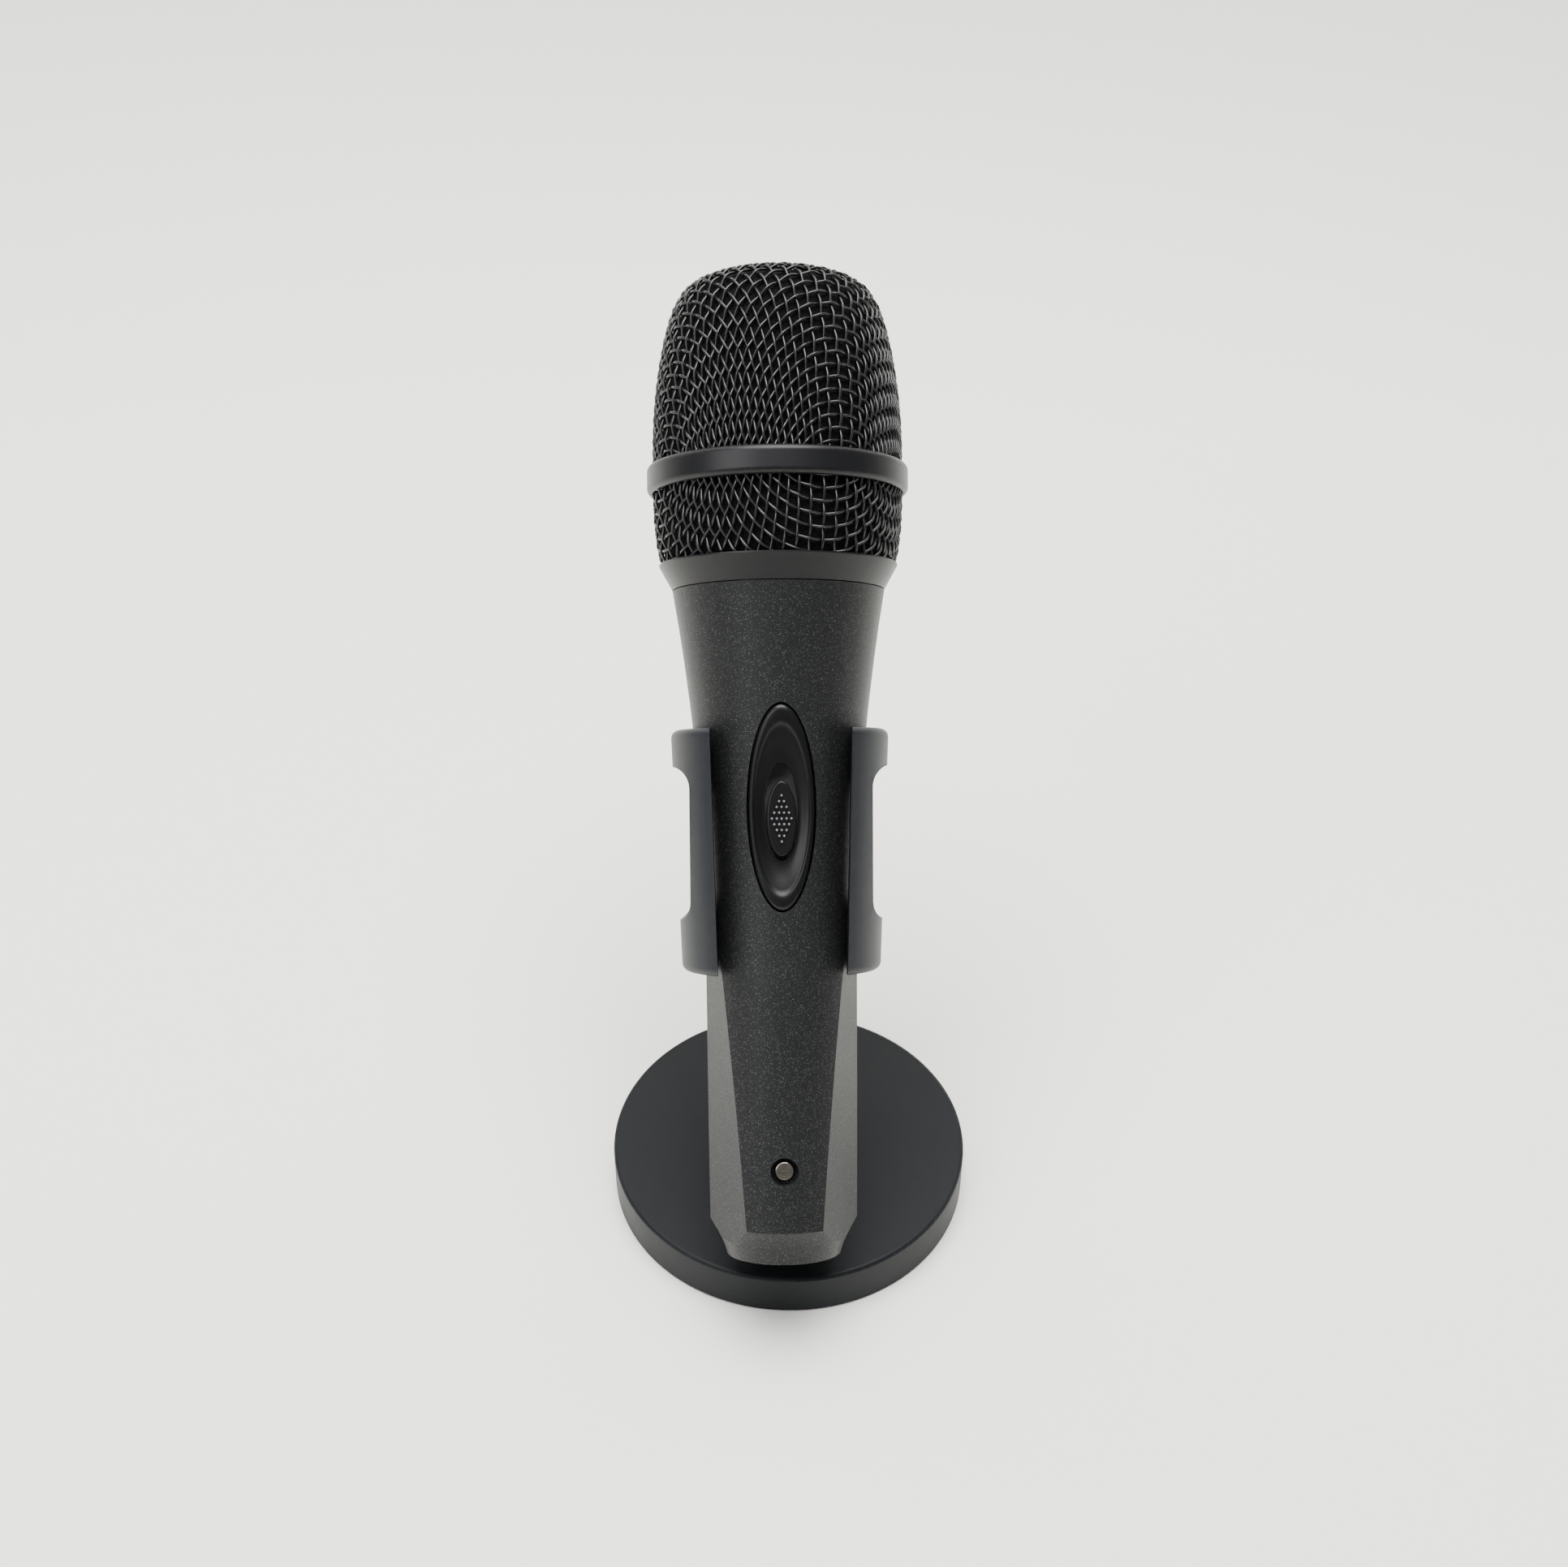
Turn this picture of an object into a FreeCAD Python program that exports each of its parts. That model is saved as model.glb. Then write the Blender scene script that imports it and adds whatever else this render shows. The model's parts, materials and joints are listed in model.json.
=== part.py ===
"""Handheld dynamic microphone in its clip on a round desk stand, millimetres.

Frame: origin at the centre of the base's underside, +Z up, +X to the right of the
switch side, which faces -Y. The microphone leans back towards +Y.
Microphone pieces are built upright along +Z, with s = 0 at the socket end and the
switch facing -Y, and are then tilted into the clip by TILT.
"""
import FreeCAD
import Part
import math
import os
from FreeCAD import Placement, Rotation, Vector

# ---- desk base ----
BASE_R = 38.0
BASE_H = 10.3
BASE_EDGE_R = 0.8
BASE_WALL = 2.0
BASE_SKIRT_GAP = 0.5
PAD_H = 1.6
PAD_GROOVE_STEP = 8.0
WEIGHT_H = 6.4
GAP = 0.2                     # between pieces of one assembly that drop into each other

# ---- stem, swivel adapter and hinge ----
STEM_X = -2.1
STEM_Y = 16.5
SWING = 1.28                  # the adapter's turn on the stem, degrees, head towards -X
STEM_R = 6.0
FLANGE_R = 10.0
FLANGE_H = 2.5
SPIGOT_R = 3.9
SPIGOT_H = 8.0
INSERT_WALL = 1.4
BOLT_R = 2.5
BOLT_BITE = 8.0               # into the stem above its flange
HEX_R = 2.3
HEX_DEPTH = 1.5
BOLT_HEAD_R = 4.6
BOLT_HEAD_H = 2.8
WASHER_R = 6.2
WASHER_H = 0.8
HINGE_R = 7.0
HINGE_BOLT_R = 2.5
HINGE_CLEAR = 0.3             # knuckle behind the clip's wall
HINGE_BELOW = 4.0             # hinge under the clip's lower end, along the microphone
KNUCKLE_DROP = 1.2            # ears' lowest point above the adapter's cup
TONGUE_W = 8.0
EAR_W = 3.4
EAR_GAP = 0.3
ADAPTER_R = 8.2
ADAPTER_ROOF = 1.2
RUN_FIT = 0.05                # radial, for a shaft that turns in its hole
HINGE_HEAD_H = 2.2
HINGE_HEAD_R = 4.4
HINGE_NUT_H = 4.0
HINGE_NUT_AF = 8.0

# ---- microphone place and lean ----
LEAN = 37.5
NECK_CLEAR = 0.7              # neck's lowest edge above the base

# ---- handle ----
NECK_R = 11.3
NECK_MID_R = 12.1
NECK_MID_S = 2.3
SHOULDER_S = 6.8
SHOULDER_R = 14.6
GRIP_S = 54.0
GRIP_R = 15.1
FLARE_S = 100.0
FLARE_R = 16.9
TOP_S = 131.2
TOP_R = 21.1
HANDLE_WALL = 2.0
FACET_ROWS = ((-1.0, 27.5, 0.0), (58.0, 53.0, 0.0), (93.0, 78.0, 0.3))   # height, azimuth, lift
FACET_PAST = 2.5
SOCKET_R = 9.5
SOCKET_DEPTH = 28.0
SCREW_S = 18.6
SCREW_HOLE_R = 2.7
SCREW_HEAD_R = 1.95
SCREW_HEAD_H = 1.3
SCREW_SHANK_R = 1.25
SCREW_SINK = 1.0
SCREW_CROSS_L = 2.7
SCREW_CROSS_W = 0.75
SCREW_CROSS_DEPTH = 0.9
SCREW_BITE = 3.5              # into the socket insert

# ---- switch ----
SWITCH_S = 88.3               # bezel's middle
BEZEL_W = 12.9
BEZEL_L = 39.6
BEZEL_GAP = 0.25
BEZEL_DEPTH = 4.4             # from the handle's front line inwards
DISH_W = 9.2
DISH_L = 33.0
DISH_SINK = 1.0
SLOT_W = 6.4
SLOT_L = 18.8
SLOT_S = SWITCH_S - 0.8
KNOB_W = SLOT_W - 0.7
KNOB_L = SLOT_L - 4.4
KNOB_S = SWITCH_S - 2.1
KNOB_GAP = 0.3
KNOB_TRAVEL = 2.4
KNOB_PROUD = 0.55
DOT_R = 0.28
DOT_H = 0.22
DOT_PITCH = 1.1
DOT_ROWS = (1, 2, 3, 4, 5, 4, 3, 2, 1)
BEZEL_PROUD = 0.15
KNOB_NECK_W = 2.6
KNOB_NECK_L = 6.0
KNOB_NECK_T = 1.6
KNOB_RIM_R = 0.35
MODULE_W = 6.6
MODULE_L = 19.0
MODULE_H = 4.6
BOARD_T = 1.2
BOARD_W = 11.0
BOARD_L = 32.0

# ---- head ----
COLLAR_H = 5.2
COLLAR_FLARE = 2.6
COLLAR_TOP_S = TOP_S + COLLAR_H
COLLAR_TOP_R = TOP_R + COLLAR_FLARE
SPIGOT_STEP = 1.5             # thread's radius inside the handle's bore
SPIGOT_OUT_R = TOP_R - HANDLE_WALL - SPIGOT_STEP
SPIGOT_WALL = 1.4
SPIGOT_TOP_S = COLLAR_TOP_S - 2 * GAP
SPIGOT_BELOW = 7.0
CUP_H = 16.8                  # collar's top to the band's middle
CUP_FLARE = 1.25
BAND_S = COLLAR_TOP_S + CUP_H
BAND_H = 5.6
BAND_T = 1.05
BAND_EDGE_R = 1.2
GRILLE_R = COLLAR_TOP_R + CUP_FLARE
GRILLE_T = 1.0
BAND_R = GRILLE_R + BAND_T
DOME_H = 41.6
APEX_S = BAND_S + DOME_H
# side of the wire cup and dome: share of the band's radius, share of the height
CUP_ROWS = ((0.946, 0.006), (0.974, 0.238), (0.994, 0.423), (1.0, 0.631), (1.0, 1.0))
DOME_ROWS = ((1.0, 0.0), (0.9972, 0.2067), (0.9848, 0.3462), (0.9591, 0.488), (0.9194, 0.6274), (0.8749, 0.738),
             (0.818, 0.8317), (0.7134, 0.9159), (0.505, 0.9688), (0.2405, 0.9928), (0.0, 1.0))
SKIN_GAP = 0.3
FOAM_T = 3.2
FOAM_FLARE = 10.0

# ---- capsule ----
MOUNT_R = SPIGOT_OUT_R - SPIGOT_WALL
MOUNT_T = 3.2
MOUNT_H = 13.0
MOUNT_LEDGE = 4.0
MOUNT_SKIN = 1.3              # rubber left on each side of the mount's groove
CAPSULE_R = MOUNT_R - MOUNT_T
CAPSULE_H = 34.0
CAPSULE_WALL = 1.2
CAPSULE_BOTTOM_S = TOP_S - 3.2
CAPSULE_TOP_S = CAPSULE_BOTTOM_S + CAPSULE_H
MOUNT_S = CAPSULE_BOTTOM_S - MOUNT_LEDGE
YOKE_R = CAPSULE_R - 2 * CAPSULE_WALL
YOKE_H = 14.0
YOKE_FLOOR = 2.5
YOKE_DROP = 3.0               # yoke's mouth under the resonator cap
COIL_R = YOKE_R - 2.0
COIL_GAP = 0.7
COIL_T = 0.4
COIL_H = 4.5
COIL_UP = 1.0                 # coil's top above the yoke
MAGNET_R = COIL_R - COIL_T - COIL_GAP
MAGNET_H = 9.0
CAP_T = 1.6
CAP_HOLE_R = 0.9
CAP_RINGS = ((0, 1), (4.2, 6), (8.2, 12))
DIAPHRAGM_T = 0.3
SPACER_BORE_R = 6.0
SPACER_FLOOR = 2.0

# ---- contacts ----
CONTACT_RING_R = 4.6
CONTACT_R = 1.2
CONTACT_ROOT_R = 1.6
CONTACT_TOP = 1.6             # tips below the socket's mouth
CONTACT_TIP_R = 0.5
CONTACT_TAIL = 2.0
INSERT_H = 10.0
INSERT_S = 14.5
LEAD_R = 0.6
LEAD_OUT = 4.4

# ---- clip ----
CLIP_BOTTOM_S = 56.0
CLIP_L = 47.7
CLIP_TOP_S = CLIP_BOTTOM_S + CLIP_L
CLIP_GAP = 0.4
CLIP_BOTTOM_OUT = GRIP_R + 4.6
CLIP_TOP_OUT = FLARE_R + 4.8
CLIP_EDGE_R = 1.6
MOUTH_SHARE = 0.63            # half the mouth's width over the clip's outer radius
WINDOW_BOTTOM_S = CLIP_BOTTOM_S + 9.5
WINDOW_TOP_S = CLIP_TOP_S - 7.2
WINDOW_SINK = 3.0
WINDOW_CORNER_R = 4.5
WINDOW_FRAME = 3.0
WINDOW_DEPTH = 17.0
WINDOW_Y = 1.5
RIB_W = 4.0
RIB_T = 0.8
RIB_ANGLES = (-62, -31, 0, 31, 62)
RIB_END = 3.0

os.makedirs("parts", exist_ok=True)

X = Vector(1, 0, 0)
Y = Vector(0, 1, 0)
Z = Vector(0, 0, 1)
SIN_LEAN = math.sin(math.radians(LEAN))
COS_LEAN = math.cos(math.radians(LEAN))
NECK_Z = BASE_H + NECK_CLEAR + NECK_R * SIN_LEAN
HINGE_S = CLIP_BOTTOM_S - HINGE_BELOW
HINGE_BACK = CLIP_BOTTOM_OUT + HINGE_R + HINGE_CLEAR
NECK_FRONT = HINGE_S * SIN_LEAN + HINGE_BACK * COS_LEAN
HINGE_Z = NECK_Z + HINGE_S * COS_LEAN - HINGE_BACK * SIN_LEAN
STEM_H = HINGE_Z - HINGE_R - KNUCKLE_DROP - ADAPTER_ROOF - SPIGOT_H - BASE_H
STEM = Vector(STEM_X, STEM_Y, 0)
SWUNG = Placement(STEM, Rotation(Z, SWING))
TILT = SWUNG.multiply(Placement(Vector(0, -NECK_FRONT, NECK_Z), Rotation(X, -LEAN)))


def save(name, shape):
    shape.exportStep("parts/%s.step" % name)


def placed(shape, place):
    moved = shape.copy()
    moved.Placement = place.multiply(moved.Placement)
    return moved


def cylinder(radius, height, at, along=Z):
    return Part.makeCylinder(radius, height, at, along)


def tube(outer, inner, height, at, along=Z):
    core = cylinder(inner, height + 2, at - along, along)
    return cylinder(outer, height, at, along).cut(core)


def box(width, depth, height, centre):
    corner = centre - Vector(width / 2, depth / 2, height / 2)
    return Part.makeBox(width, depth, height, corner)


def turned(edges):
    """Solid of revolution about Z from a closed outline in the XZ plane."""
    face = Part.Face(Part.Wire(edges))
    return face.revolve(Vector(0, 0, 0), Z, 360)


def line(a, b):
    return Part.makeLine(Vector(a[0], 0, a[1]), Vector(b[0], 0, b[1]))


def curve(points, start_slope=None, end_slope=None):
    spline = Part.BSplineCurve()
    knots = [Vector(r, 0, s) for r, s in points]
    if start_slope is None:
        spline.interpolate(knots)
    else:
        ends = {"InitialTangent": start_slope, "FinalTangent": end_slope}
        spline.interpolate(Points=knots, **ends)
    return spline.toShape()


def radius_at(s):
    """Radius of the round handle, before its facets, at s."""
    if s <= GRIP_S:
        share = (s - SHOULDER_S) / (GRIP_S - SHOULDER_S)
        return SHOULDER_R + share * (GRIP_R - SHOULDER_R)
    share = (s - GRIP_S) / (TOP_S - GRIP_S)
    mid = (FLARE_S - GRIP_S) / (TOP_S - GRIP_S)
    linear = (TOP_R - GRIP_R) * share
    bow = (TOP_R - GRIP_R) * mid - (FLARE_R - GRIP_R)
    return GRIP_R + linear - bow * share * (1 - share) / (mid * (1 - mid))


def handle_curve(offset, low, high, count):
    """Points of the handle's side between two heights, moved in by offset."""
    step = (high - low) / (count - 1)
    return [(radius_at(low + i * step) - offset, low + i * step) for i in range(count)]


def oval(width, length, s):
    """Upright oval wire in the XZ plane, seen from the front."""
    centre = Vector(0, 0, s)
    top = Vector(0, 0, s + length / 2)
    side = Vector(width / 2, 0, s)
    return Part.Wire(Part.Ellipse(top, side, centre).toShape())


def oval_block(width, length, s, front, back):
    """Oval prism from y = front to y = back."""
    face = Part.Face(oval(width, length, s))
    face.translate(Y * front)
    return face.extrude(Y * (back - front))


# ================= base =================

def base_shell():
    body = cylinder(BASE_R, BASE_H - BASE_SKIRT_GAP, Z * BASE_SKIRT_GAP)
    rim = [e for e in body.Edges if e.BoundBox.ZMin > BASE_H - 0.01 and e.Curve.TypeId == "Part::GeomCircle"]
    body = body.makeFillet(BASE_EDGE_R, rim)
    hollow = cylinder(BASE_R - BASE_WALL, BASE_H - BASE_WALL, Vector(0, 0, 0))
    hole = cylinder(BOLT_R + GAP, BASE_H, STEM + Z)
    return body.cut(hollow).cut(hole)


def base_weight():
    top = BASE_H - BASE_WALL
    disc = cylinder(BASE_R - BASE_WALL - GAP, WEIGHT_H, Z * (top - WEIGHT_H))
    hole = cylinder(BOLT_R + GAP, BASE_H, STEM)
    pocket = cylinder(WASHER_R + 0.5, BOLT_HEAD_H + WASHER_H, STEM + Z * (top - WEIGHT_H))
    return disc.cut(hole).cut(pocket)


def base_pad():
    disc = cylinder(BASE_R - BASE_WALL - GAP, PAD_H, Vector(0, 0, 0))
    radius = PAD_GROOVE_STEP
    while radius < BASE_R - 2 * BASE_WALL:
        disc = disc.cut(tube(radius + 0.5, radius - 0.5, 0.6, Z * -0.1))
        radius += PAD_GROOVE_STEP
    return disc


SEAT_Z = BASE_H - BASE_WALL - WEIGHT_H + BOLT_HEAD_H + WASHER_H


def stem_bolt():
    low = SEAT_Z - BOLT_HEAD_H - WASHER_H
    head = cylinder(BOLT_HEAD_R, BOLT_HEAD_H, STEM + Z * low)
    under = SEAT_Z - WASHER_H
    shank = cylinder(BOLT_R, BASE_H + FLANGE_H + BOLT_BITE - under, STEM + Z * under)
    return head.fuse(shank).cut(hex_socket(STEM + Z * low))


def hex_ring(radius, centre, first, second):
    """Closed hexagon about centre in the plane of two directions."""
    turns = [math.radians(60 * i) for i in range(7)]
    corners = [centre + first * (radius * math.cos(turn)) + second * (radius * math.sin(turn)) for turn in turns]
    return Part.Face(Part.makePolygon(corners))


def hex_socket(at):
    return hex_ring(HEX_R, at - Z * 0.1, X, Y).extrude(Z * (HEX_DEPTH + 0.1))


def stem_washer():
    return tube(WASHER_R, BOLT_R + GAP, WASHER_H, STEM + Z * (SEAT_Z - WASHER_H))


def stem_post():
    foot = STEM + Z * BASE_H
    flange = cylinder(FLANGE_R, FLANGE_H, foot)
    column = cylinder(STEM_R, STEM_H, foot)
    spigot = cylinder(SPIGOT_R, STEM_H + SPIGOT_H, foot)
    post = flange.fuse(column).fuse(spigot).removeSplitter()
    return post.cut(cylinder(BOLT_R, FLANGE_H + BOLT_BITE, foot))


ADAPTER_Z = BASE_H + STEM_H + RUN_FIT
INSERT_OUT_R = SPIGOT_R + INSERT_WALL


def thread_insert():
    return tube(INSERT_OUT_R, SPIGOT_R + RUN_FIT, SPIGOT_H - 1, Z * ADAPTER_Z)


def swivel_adapter():
    cup = cylinder(ADAPTER_R, SPIGOT_H + ADAPTER_ROOF, Z * ADAPTER_Z)
    tongue = box(TONGUE_W, 2 * HINGE_R, HINGE_Z - ADAPTER_Z, Z * (HINGE_Z + ADAPTER_Z) / 2)
    knuckle = cylinder(HINGE_R, TONGUE_W, Vector(-TONGUE_W / 2, 0, HINGE_Z), X)
    body = cup.fuse(tongue).fuse(knuckle).removeSplitter()
    body = body.cut(cylinder(INSERT_OUT_R, SPIGOT_H + GAP, Z * ADAPTER_Z))
    return body.cut(cylinder(HINGE_BOLT_R + RUN_FIT, 2 * TONGUE_W, Vector(-TONGUE_W, 0, HINGE_Z), X))


# ================= clip =================

def clip_out(s):
    share = (s - CLIP_BOTTOM_S) / (CLIP_TOP_S - CLIP_BOTTOM_S)
    return CLIP_BOTTOM_OUT + share * (CLIP_TOP_OUT - CLIP_BOTTOM_OUT)


def handle_core(extra, low, high):
    """The handle's round volume grown by extra, between two heights."""
    side = handle_curve(-extra, low, high, 7)
    edges = [curve(side), line(side[-1], (0, high)), line((0, high), (0, low)), line((0, low), side[0])]
    return turned(edges)


def clip_body():
    low, high = CLIP_BOTTOM_S, CLIP_TOP_S
    shell = Part.makeCone(CLIP_BOTTOM_OUT, CLIP_TOP_OUT, CLIP_L, Z * low, Z, 360)
    ends = [e for e in shell.Edges if e.Curve.TypeId == "Part::GeomCircle"]
    shell = shell.makeFillet(CLIP_EDGE_R, ends)
    narrow = CLIP_BOTTOM_OUT * MOUTH_SHARE
    wide = CLIP_TOP_OUT * MOUTH_SHARE
    mouth = [Vector(-narrow, 0, low - 1), Vector(narrow, 0, low - 1),
             Vector(wide, 0, high + 1), Vector(-wide, 0, high + 1), Vector(-narrow, 0, low - 1)]
    front = Part.Face(Part.makePolygon(mouth)).extrude(Y * -2 * CLIP_TOP_OUT)
    shell = shell.cut(front)
    for side in (-1, 1):
        shell = shell.cut(clip_window(side))
    for side in (-1, 1):
        shell = shell.fuse(hinge_ear(side))
    shell = shell.removeSplitter()
    shell = shell.cut(handle_core(CLIP_GAP + RIB_T, low - 1, high + 1))
    return shell.cut(adapter_room()).cut(hinge_hole(HINGE_BOLT_R + GAP / 2))


def clip_window(side):
    """Waist in the clip's flank: the thick wall is cut back between two rounded ends, then opened."""
    low, high = WINDOW_BOTTOM_S, WINDOW_TOP_S
    middle = (low + high) / 2
    outer = clip_out(middle)
    waist = box(12, 60, high - low, Vector(outer - WINDOW_SINK + 6, 0, middle))
    corners = [e for e in waist.Edges if e.BoundBox.YLength > 59 and e.BoundBox.XMax < outer]
    waist = waist.makeFillet(WINDOW_CORNER_R, corners)
    opening = box(20, WINDOW_DEPTH, high - low - 2 * WINDOW_FRAME, Vector(outer, WINDOW_Y, middle))
    corners = [e for e in opening.Edges if e.BoundBox.XLength > 19]
    opening = opening.makeFillet(WINDOW_CORNER_R, corners)
    cutter = waist.fuse(opening)
    if side < 0:
        cutter = cutter.mirror(Vector(0, 0, 0), X)
    return cutter


def hinge_ear(side):
    inner = side * (TONGUE_W / 2 + EAR_GAP)
    outer = inner + side * EAR_W
    knuckle = cylinder(HINGE_R, EAR_W, Vector(min(inner, outer), HINGE_BACK, HINGE_S), X)
    web_low = HINGE_S
    web_high = HINGE_S + 22
    web = [Vector(0, HINGE_BACK + HINGE_R * 0.7, HINGE_S + HINGE_R * 0.7),
           Vector(0, CLIP_BOTTOM_OUT - 1.2, web_high), Vector(0, CLIP_BOTTOM_OUT - 2.2, web_low + 4.5),
           Vector(0, HINGE_BACK - HINGE_R * 0.95, web_low + 1.0)]
    web.append(web[0])
    plate = Part.Face(Part.makePolygon(web)).extrude(X * EAR_W)
    plate.translate(X * min(inner, outer))
    return knuckle.fuse(plate)


def adapter_room():
    """Space between the ears for the adapter's tongue."""
    return cylinder(HINGE_R + 1.0, TONGUE_W + 2 * EAR_GAP, Vector(-TONGUE_W / 2 - EAR_GAP, HINGE_BACK, HINGE_S), X)


def hinge_hole(radius):
    return cylinder(radius, 60, Vector(-30, HINGE_BACK, HINGE_S), X)


def clip_liner():
    """Soft ribs inside the clip, which grip the handle."""
    low, high = CLIP_BOTTOM_S + RIB_END, CLIP_TOP_S - RIB_END
    ring = handle_core(CLIP_GAP + RIB_T - RUN_FIT, low, high).cut(handle_core(CLIP_GAP, low - 1, high + 1))
    ribs = None
    for angle in RIB_ANGLES:
        slab = box(RIB_W, 30, high - low, Vector(0, 15, (low + high) / 2))
        slab.rotate(Vector(0, 0, 0), Z, angle)
        rib = ring.common(slab)
        ribs = rib if ribs is None else ribs.fuse(rib)
    return ribs


HINGE_OUT = TONGUE_W / 2 + EAR_GAP + EAR_W


def hinge_bolt():
    centre = Z * HINGE_Z
    shank = cylinder(HINGE_BOLT_R, 2 * HINGE_OUT + HINGE_NUT_H + 0.4, centre - X * HINGE_OUT, X)
    head = cylinder(HINGE_HEAD_R, HINGE_HEAD_H, centre - X * (HINGE_OUT + HINGE_HEAD_H), X)
    slot = box(HINGE_HEAD_H * 1.4, 1.1, 3 * HINGE_HEAD_R, centre - X * (HINGE_OUT + HINGE_HEAD_H))
    return head.fuse(shank).cut(slot)


def hinge_nut():
    radius = HINGE_NUT_AF / 2 / math.cos(math.radians(30))
    centre = Vector(HINGE_OUT, 0, HINGE_Z)
    nut = hex_ring(radius, centre, Y, Z).extrude(X * HINGE_NUT_H)
    return nut.cut(cylinder(HINGE_BOLT_R, HINGE_NUT_H + 2, centre - X, X))


# ================= handle =================

def facet_row(s, azimuth, lift):
    """Cutter outline at one height: outside the chord from the front panel's edge to the side ridge."""
    radius = radius_at(max(s, SHOULDER_S)) + lift
    turn = math.radians(azimuth)
    inner = Vector(radius * math.sin(turn), -radius * math.cos(turn), s)
    ridge = Vector(radius, 0, s)
    along = (ridge - inner).normalize()
    out = Vector(-along.y, along.x, 0) * -1
    if out.x < 0:
        out = out * -1
    near = inner - along * FACET_PAST
    far = ridge + along * FACET_PAST / 4
    return Part.makePolygon([near, far, far + out * 4, near + out * 4, near])


def facet_cutters():
    rows = [facet_row(*row) for row in FACET_ROWS]
    front_right = Part.makeLoft(rows, True, True)
    front_left = front_right.mirror(Vector(0, 0, 0), X)
    back = [front_right.mirror(Vector(0, 0, 0), Y), front_left.mirror(Vector(0, 0, 0), Y)]
    return [front_right, front_left] + back


def handle_shell():
    side = handle_curve(0, GRIP_S, TOP_S, 7)
    flare = curve([(NECK_R, 0), (NECK_MID_R, NECK_MID_S), (SHOULDER_R, SHOULDER_S)])
    edges = [flare, line((SHOULDER_R, SHOULDER_S), side[0]), curve(side),
             line(side[-1], (0, TOP_S)), line((0, TOP_S), (0, 0)), line((0, 0), (NECK_R, 0))]
    body = turned(edges)
    for cutter in facet_cutters():
        body = body.cut(cutter)
    inner = handle_curve(HANDLE_WALL, GRIP_S, TOP_S, 7)
    bore_r = GRIP_R - HANDLE_WALL - 1.4
    room = [line((SOCKET_R, -1), (SOCKET_R, SOCKET_DEPTH)), line((SOCKET_R, SOCKET_DEPTH), (bore_r, SOCKET_DEPTH + 4)),
            line((bore_r, SOCKET_DEPTH + 4), inner[0]), curve(inner), line(inner[-1], (inner[-1][0], TOP_S + 1)),
            line((inner[-1][0], TOP_S + 1), (0, TOP_S + 1)), line((0, TOP_S + 1), (0, -1)), line((0, -1), (SOCKET_R, -1))]
    body = body.cut(turned(room))
    front = -radius_at(SWITCH_S)
    recess = oval_block(BEZEL_W + 2 * BEZEL_GAP, BEZEL_L + 2 * BEZEL_GAP, SWITCH_S, front - 6, front + 6)
    body = body.cut(recess)
    seat_y = screw_face() + SCREW_HEAD_H
    body = body.cut(cylinder(SCREW_HOLE_R, 10, Vector(0, seat_y - 10, SCREW_S), Y))
    return body.cut(cylinder(SCREW_SHANK_R + RUN_FIT, 10, Vector(0, seat_y - 1, SCREW_S), Y))


def screw_face():
    return -radius_at(SCREW_S) + SCREW_SINK


def lock_screw():
    face_y = screw_face()
    head = cylinder(SCREW_HEAD_R, SCREW_HEAD_H, Vector(0, face_y, SCREW_S), Y)
    head = head.makeFillet(0.5, [e for e in head.Edges if e.BoundBox.YMax < face_y + 0.01])
    length = SCREW_BITE - SOCKET_R - (face_y + SCREW_HEAD_H)
    shank = cylinder(SCREW_SHANK_R, length, Vector(0, face_y + SCREW_HEAD_H, SCREW_S), Y)
    screw = head.fuse(shank)
    for width, height in ((SCREW_CROSS_L, SCREW_CROSS_W), (SCREW_CROSS_W, SCREW_CROSS_L)):
        screw = screw.cut(box(width, 2 * SCREW_CROSS_DEPTH, height, Vector(0, face_y, SCREW_S)))
    return screw


# ================= contacts and leads =================

def contact_places():
    spots = []
    for angle in (0, 120, 240):
        turn = math.radians(angle + 90)
        spots.append(Vector(CONTACT_RING_R * math.cos(turn), CONTACT_RING_R * math.sin(turn), 0))
    return spots


def socket_insert():
    disc = cylinder(SOCKET_R - RUN_FIT, INSERT_H, Z * INSERT_S)
    for spot in contact_places():
        disc = disc.cut(cylinder(CONTACT_ROOT_R, INSERT_H + 2, spot + Z * (INSERT_S - 1)))
    return disc.cut(cylinder(SCREW_SHANK_R, SCREW_BITE + 1, Vector(0, -SOCKET_R - 1, SCREW_S), Y))


def contact_pins():
    pins = []
    for spot in contact_places():
        pin = cylinder(CONTACT_R, INSERT_S - CONTACT_TOP, spot + Z * CONTACT_TOP)
        tip = [e for e in pin.Edges if e.BoundBox.ZMax < CONTACT_TOP + 0.01]
        root = cylinder(CONTACT_ROOT_R, INSERT_H + CONTACT_TAIL, spot + Z * INSERT_S)
        pins.append(pin.makeFillet(CONTACT_TIP_R, tip).fuse(root))
    return Part.makeCompound(pins)


def leads():
    """Two wires, from the contacts past the switch board to the capsule."""
    wires = []
    low = INSERT_S + INSERT_H + CONTACT_TAIL
    for spot, x in ((contact_places()[1], -LEAD_OUT), (contact_places()[2], LEAD_OUT)):
        start = Vector(spot.x, spot.y, low)
        first = Vector(spot.x, spot.y, low + 4)
        second = Vector(x, 5.5, low + 16)
        third = Vector(x, 5.5, CAPSULE_BOTTOM_S)
        path = Part.makePolygon([start, first, second, third])
        ring = Part.Wire(Part.makeCircle(LEAD_R, start, Z))
        wires.append(path.makePipeShell([ring], True, False, 2))
    return Part.makeCompound(wires)


# ================= switch =================

BEZEL_FRONT = -radius_at(SWITCH_S)


def handle_skin(extra):
    """The handle's round front around the switch, grown by extra."""
    return handle_core(extra, SWITCH_S - BEZEL_L, TOP_S - 2)


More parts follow.
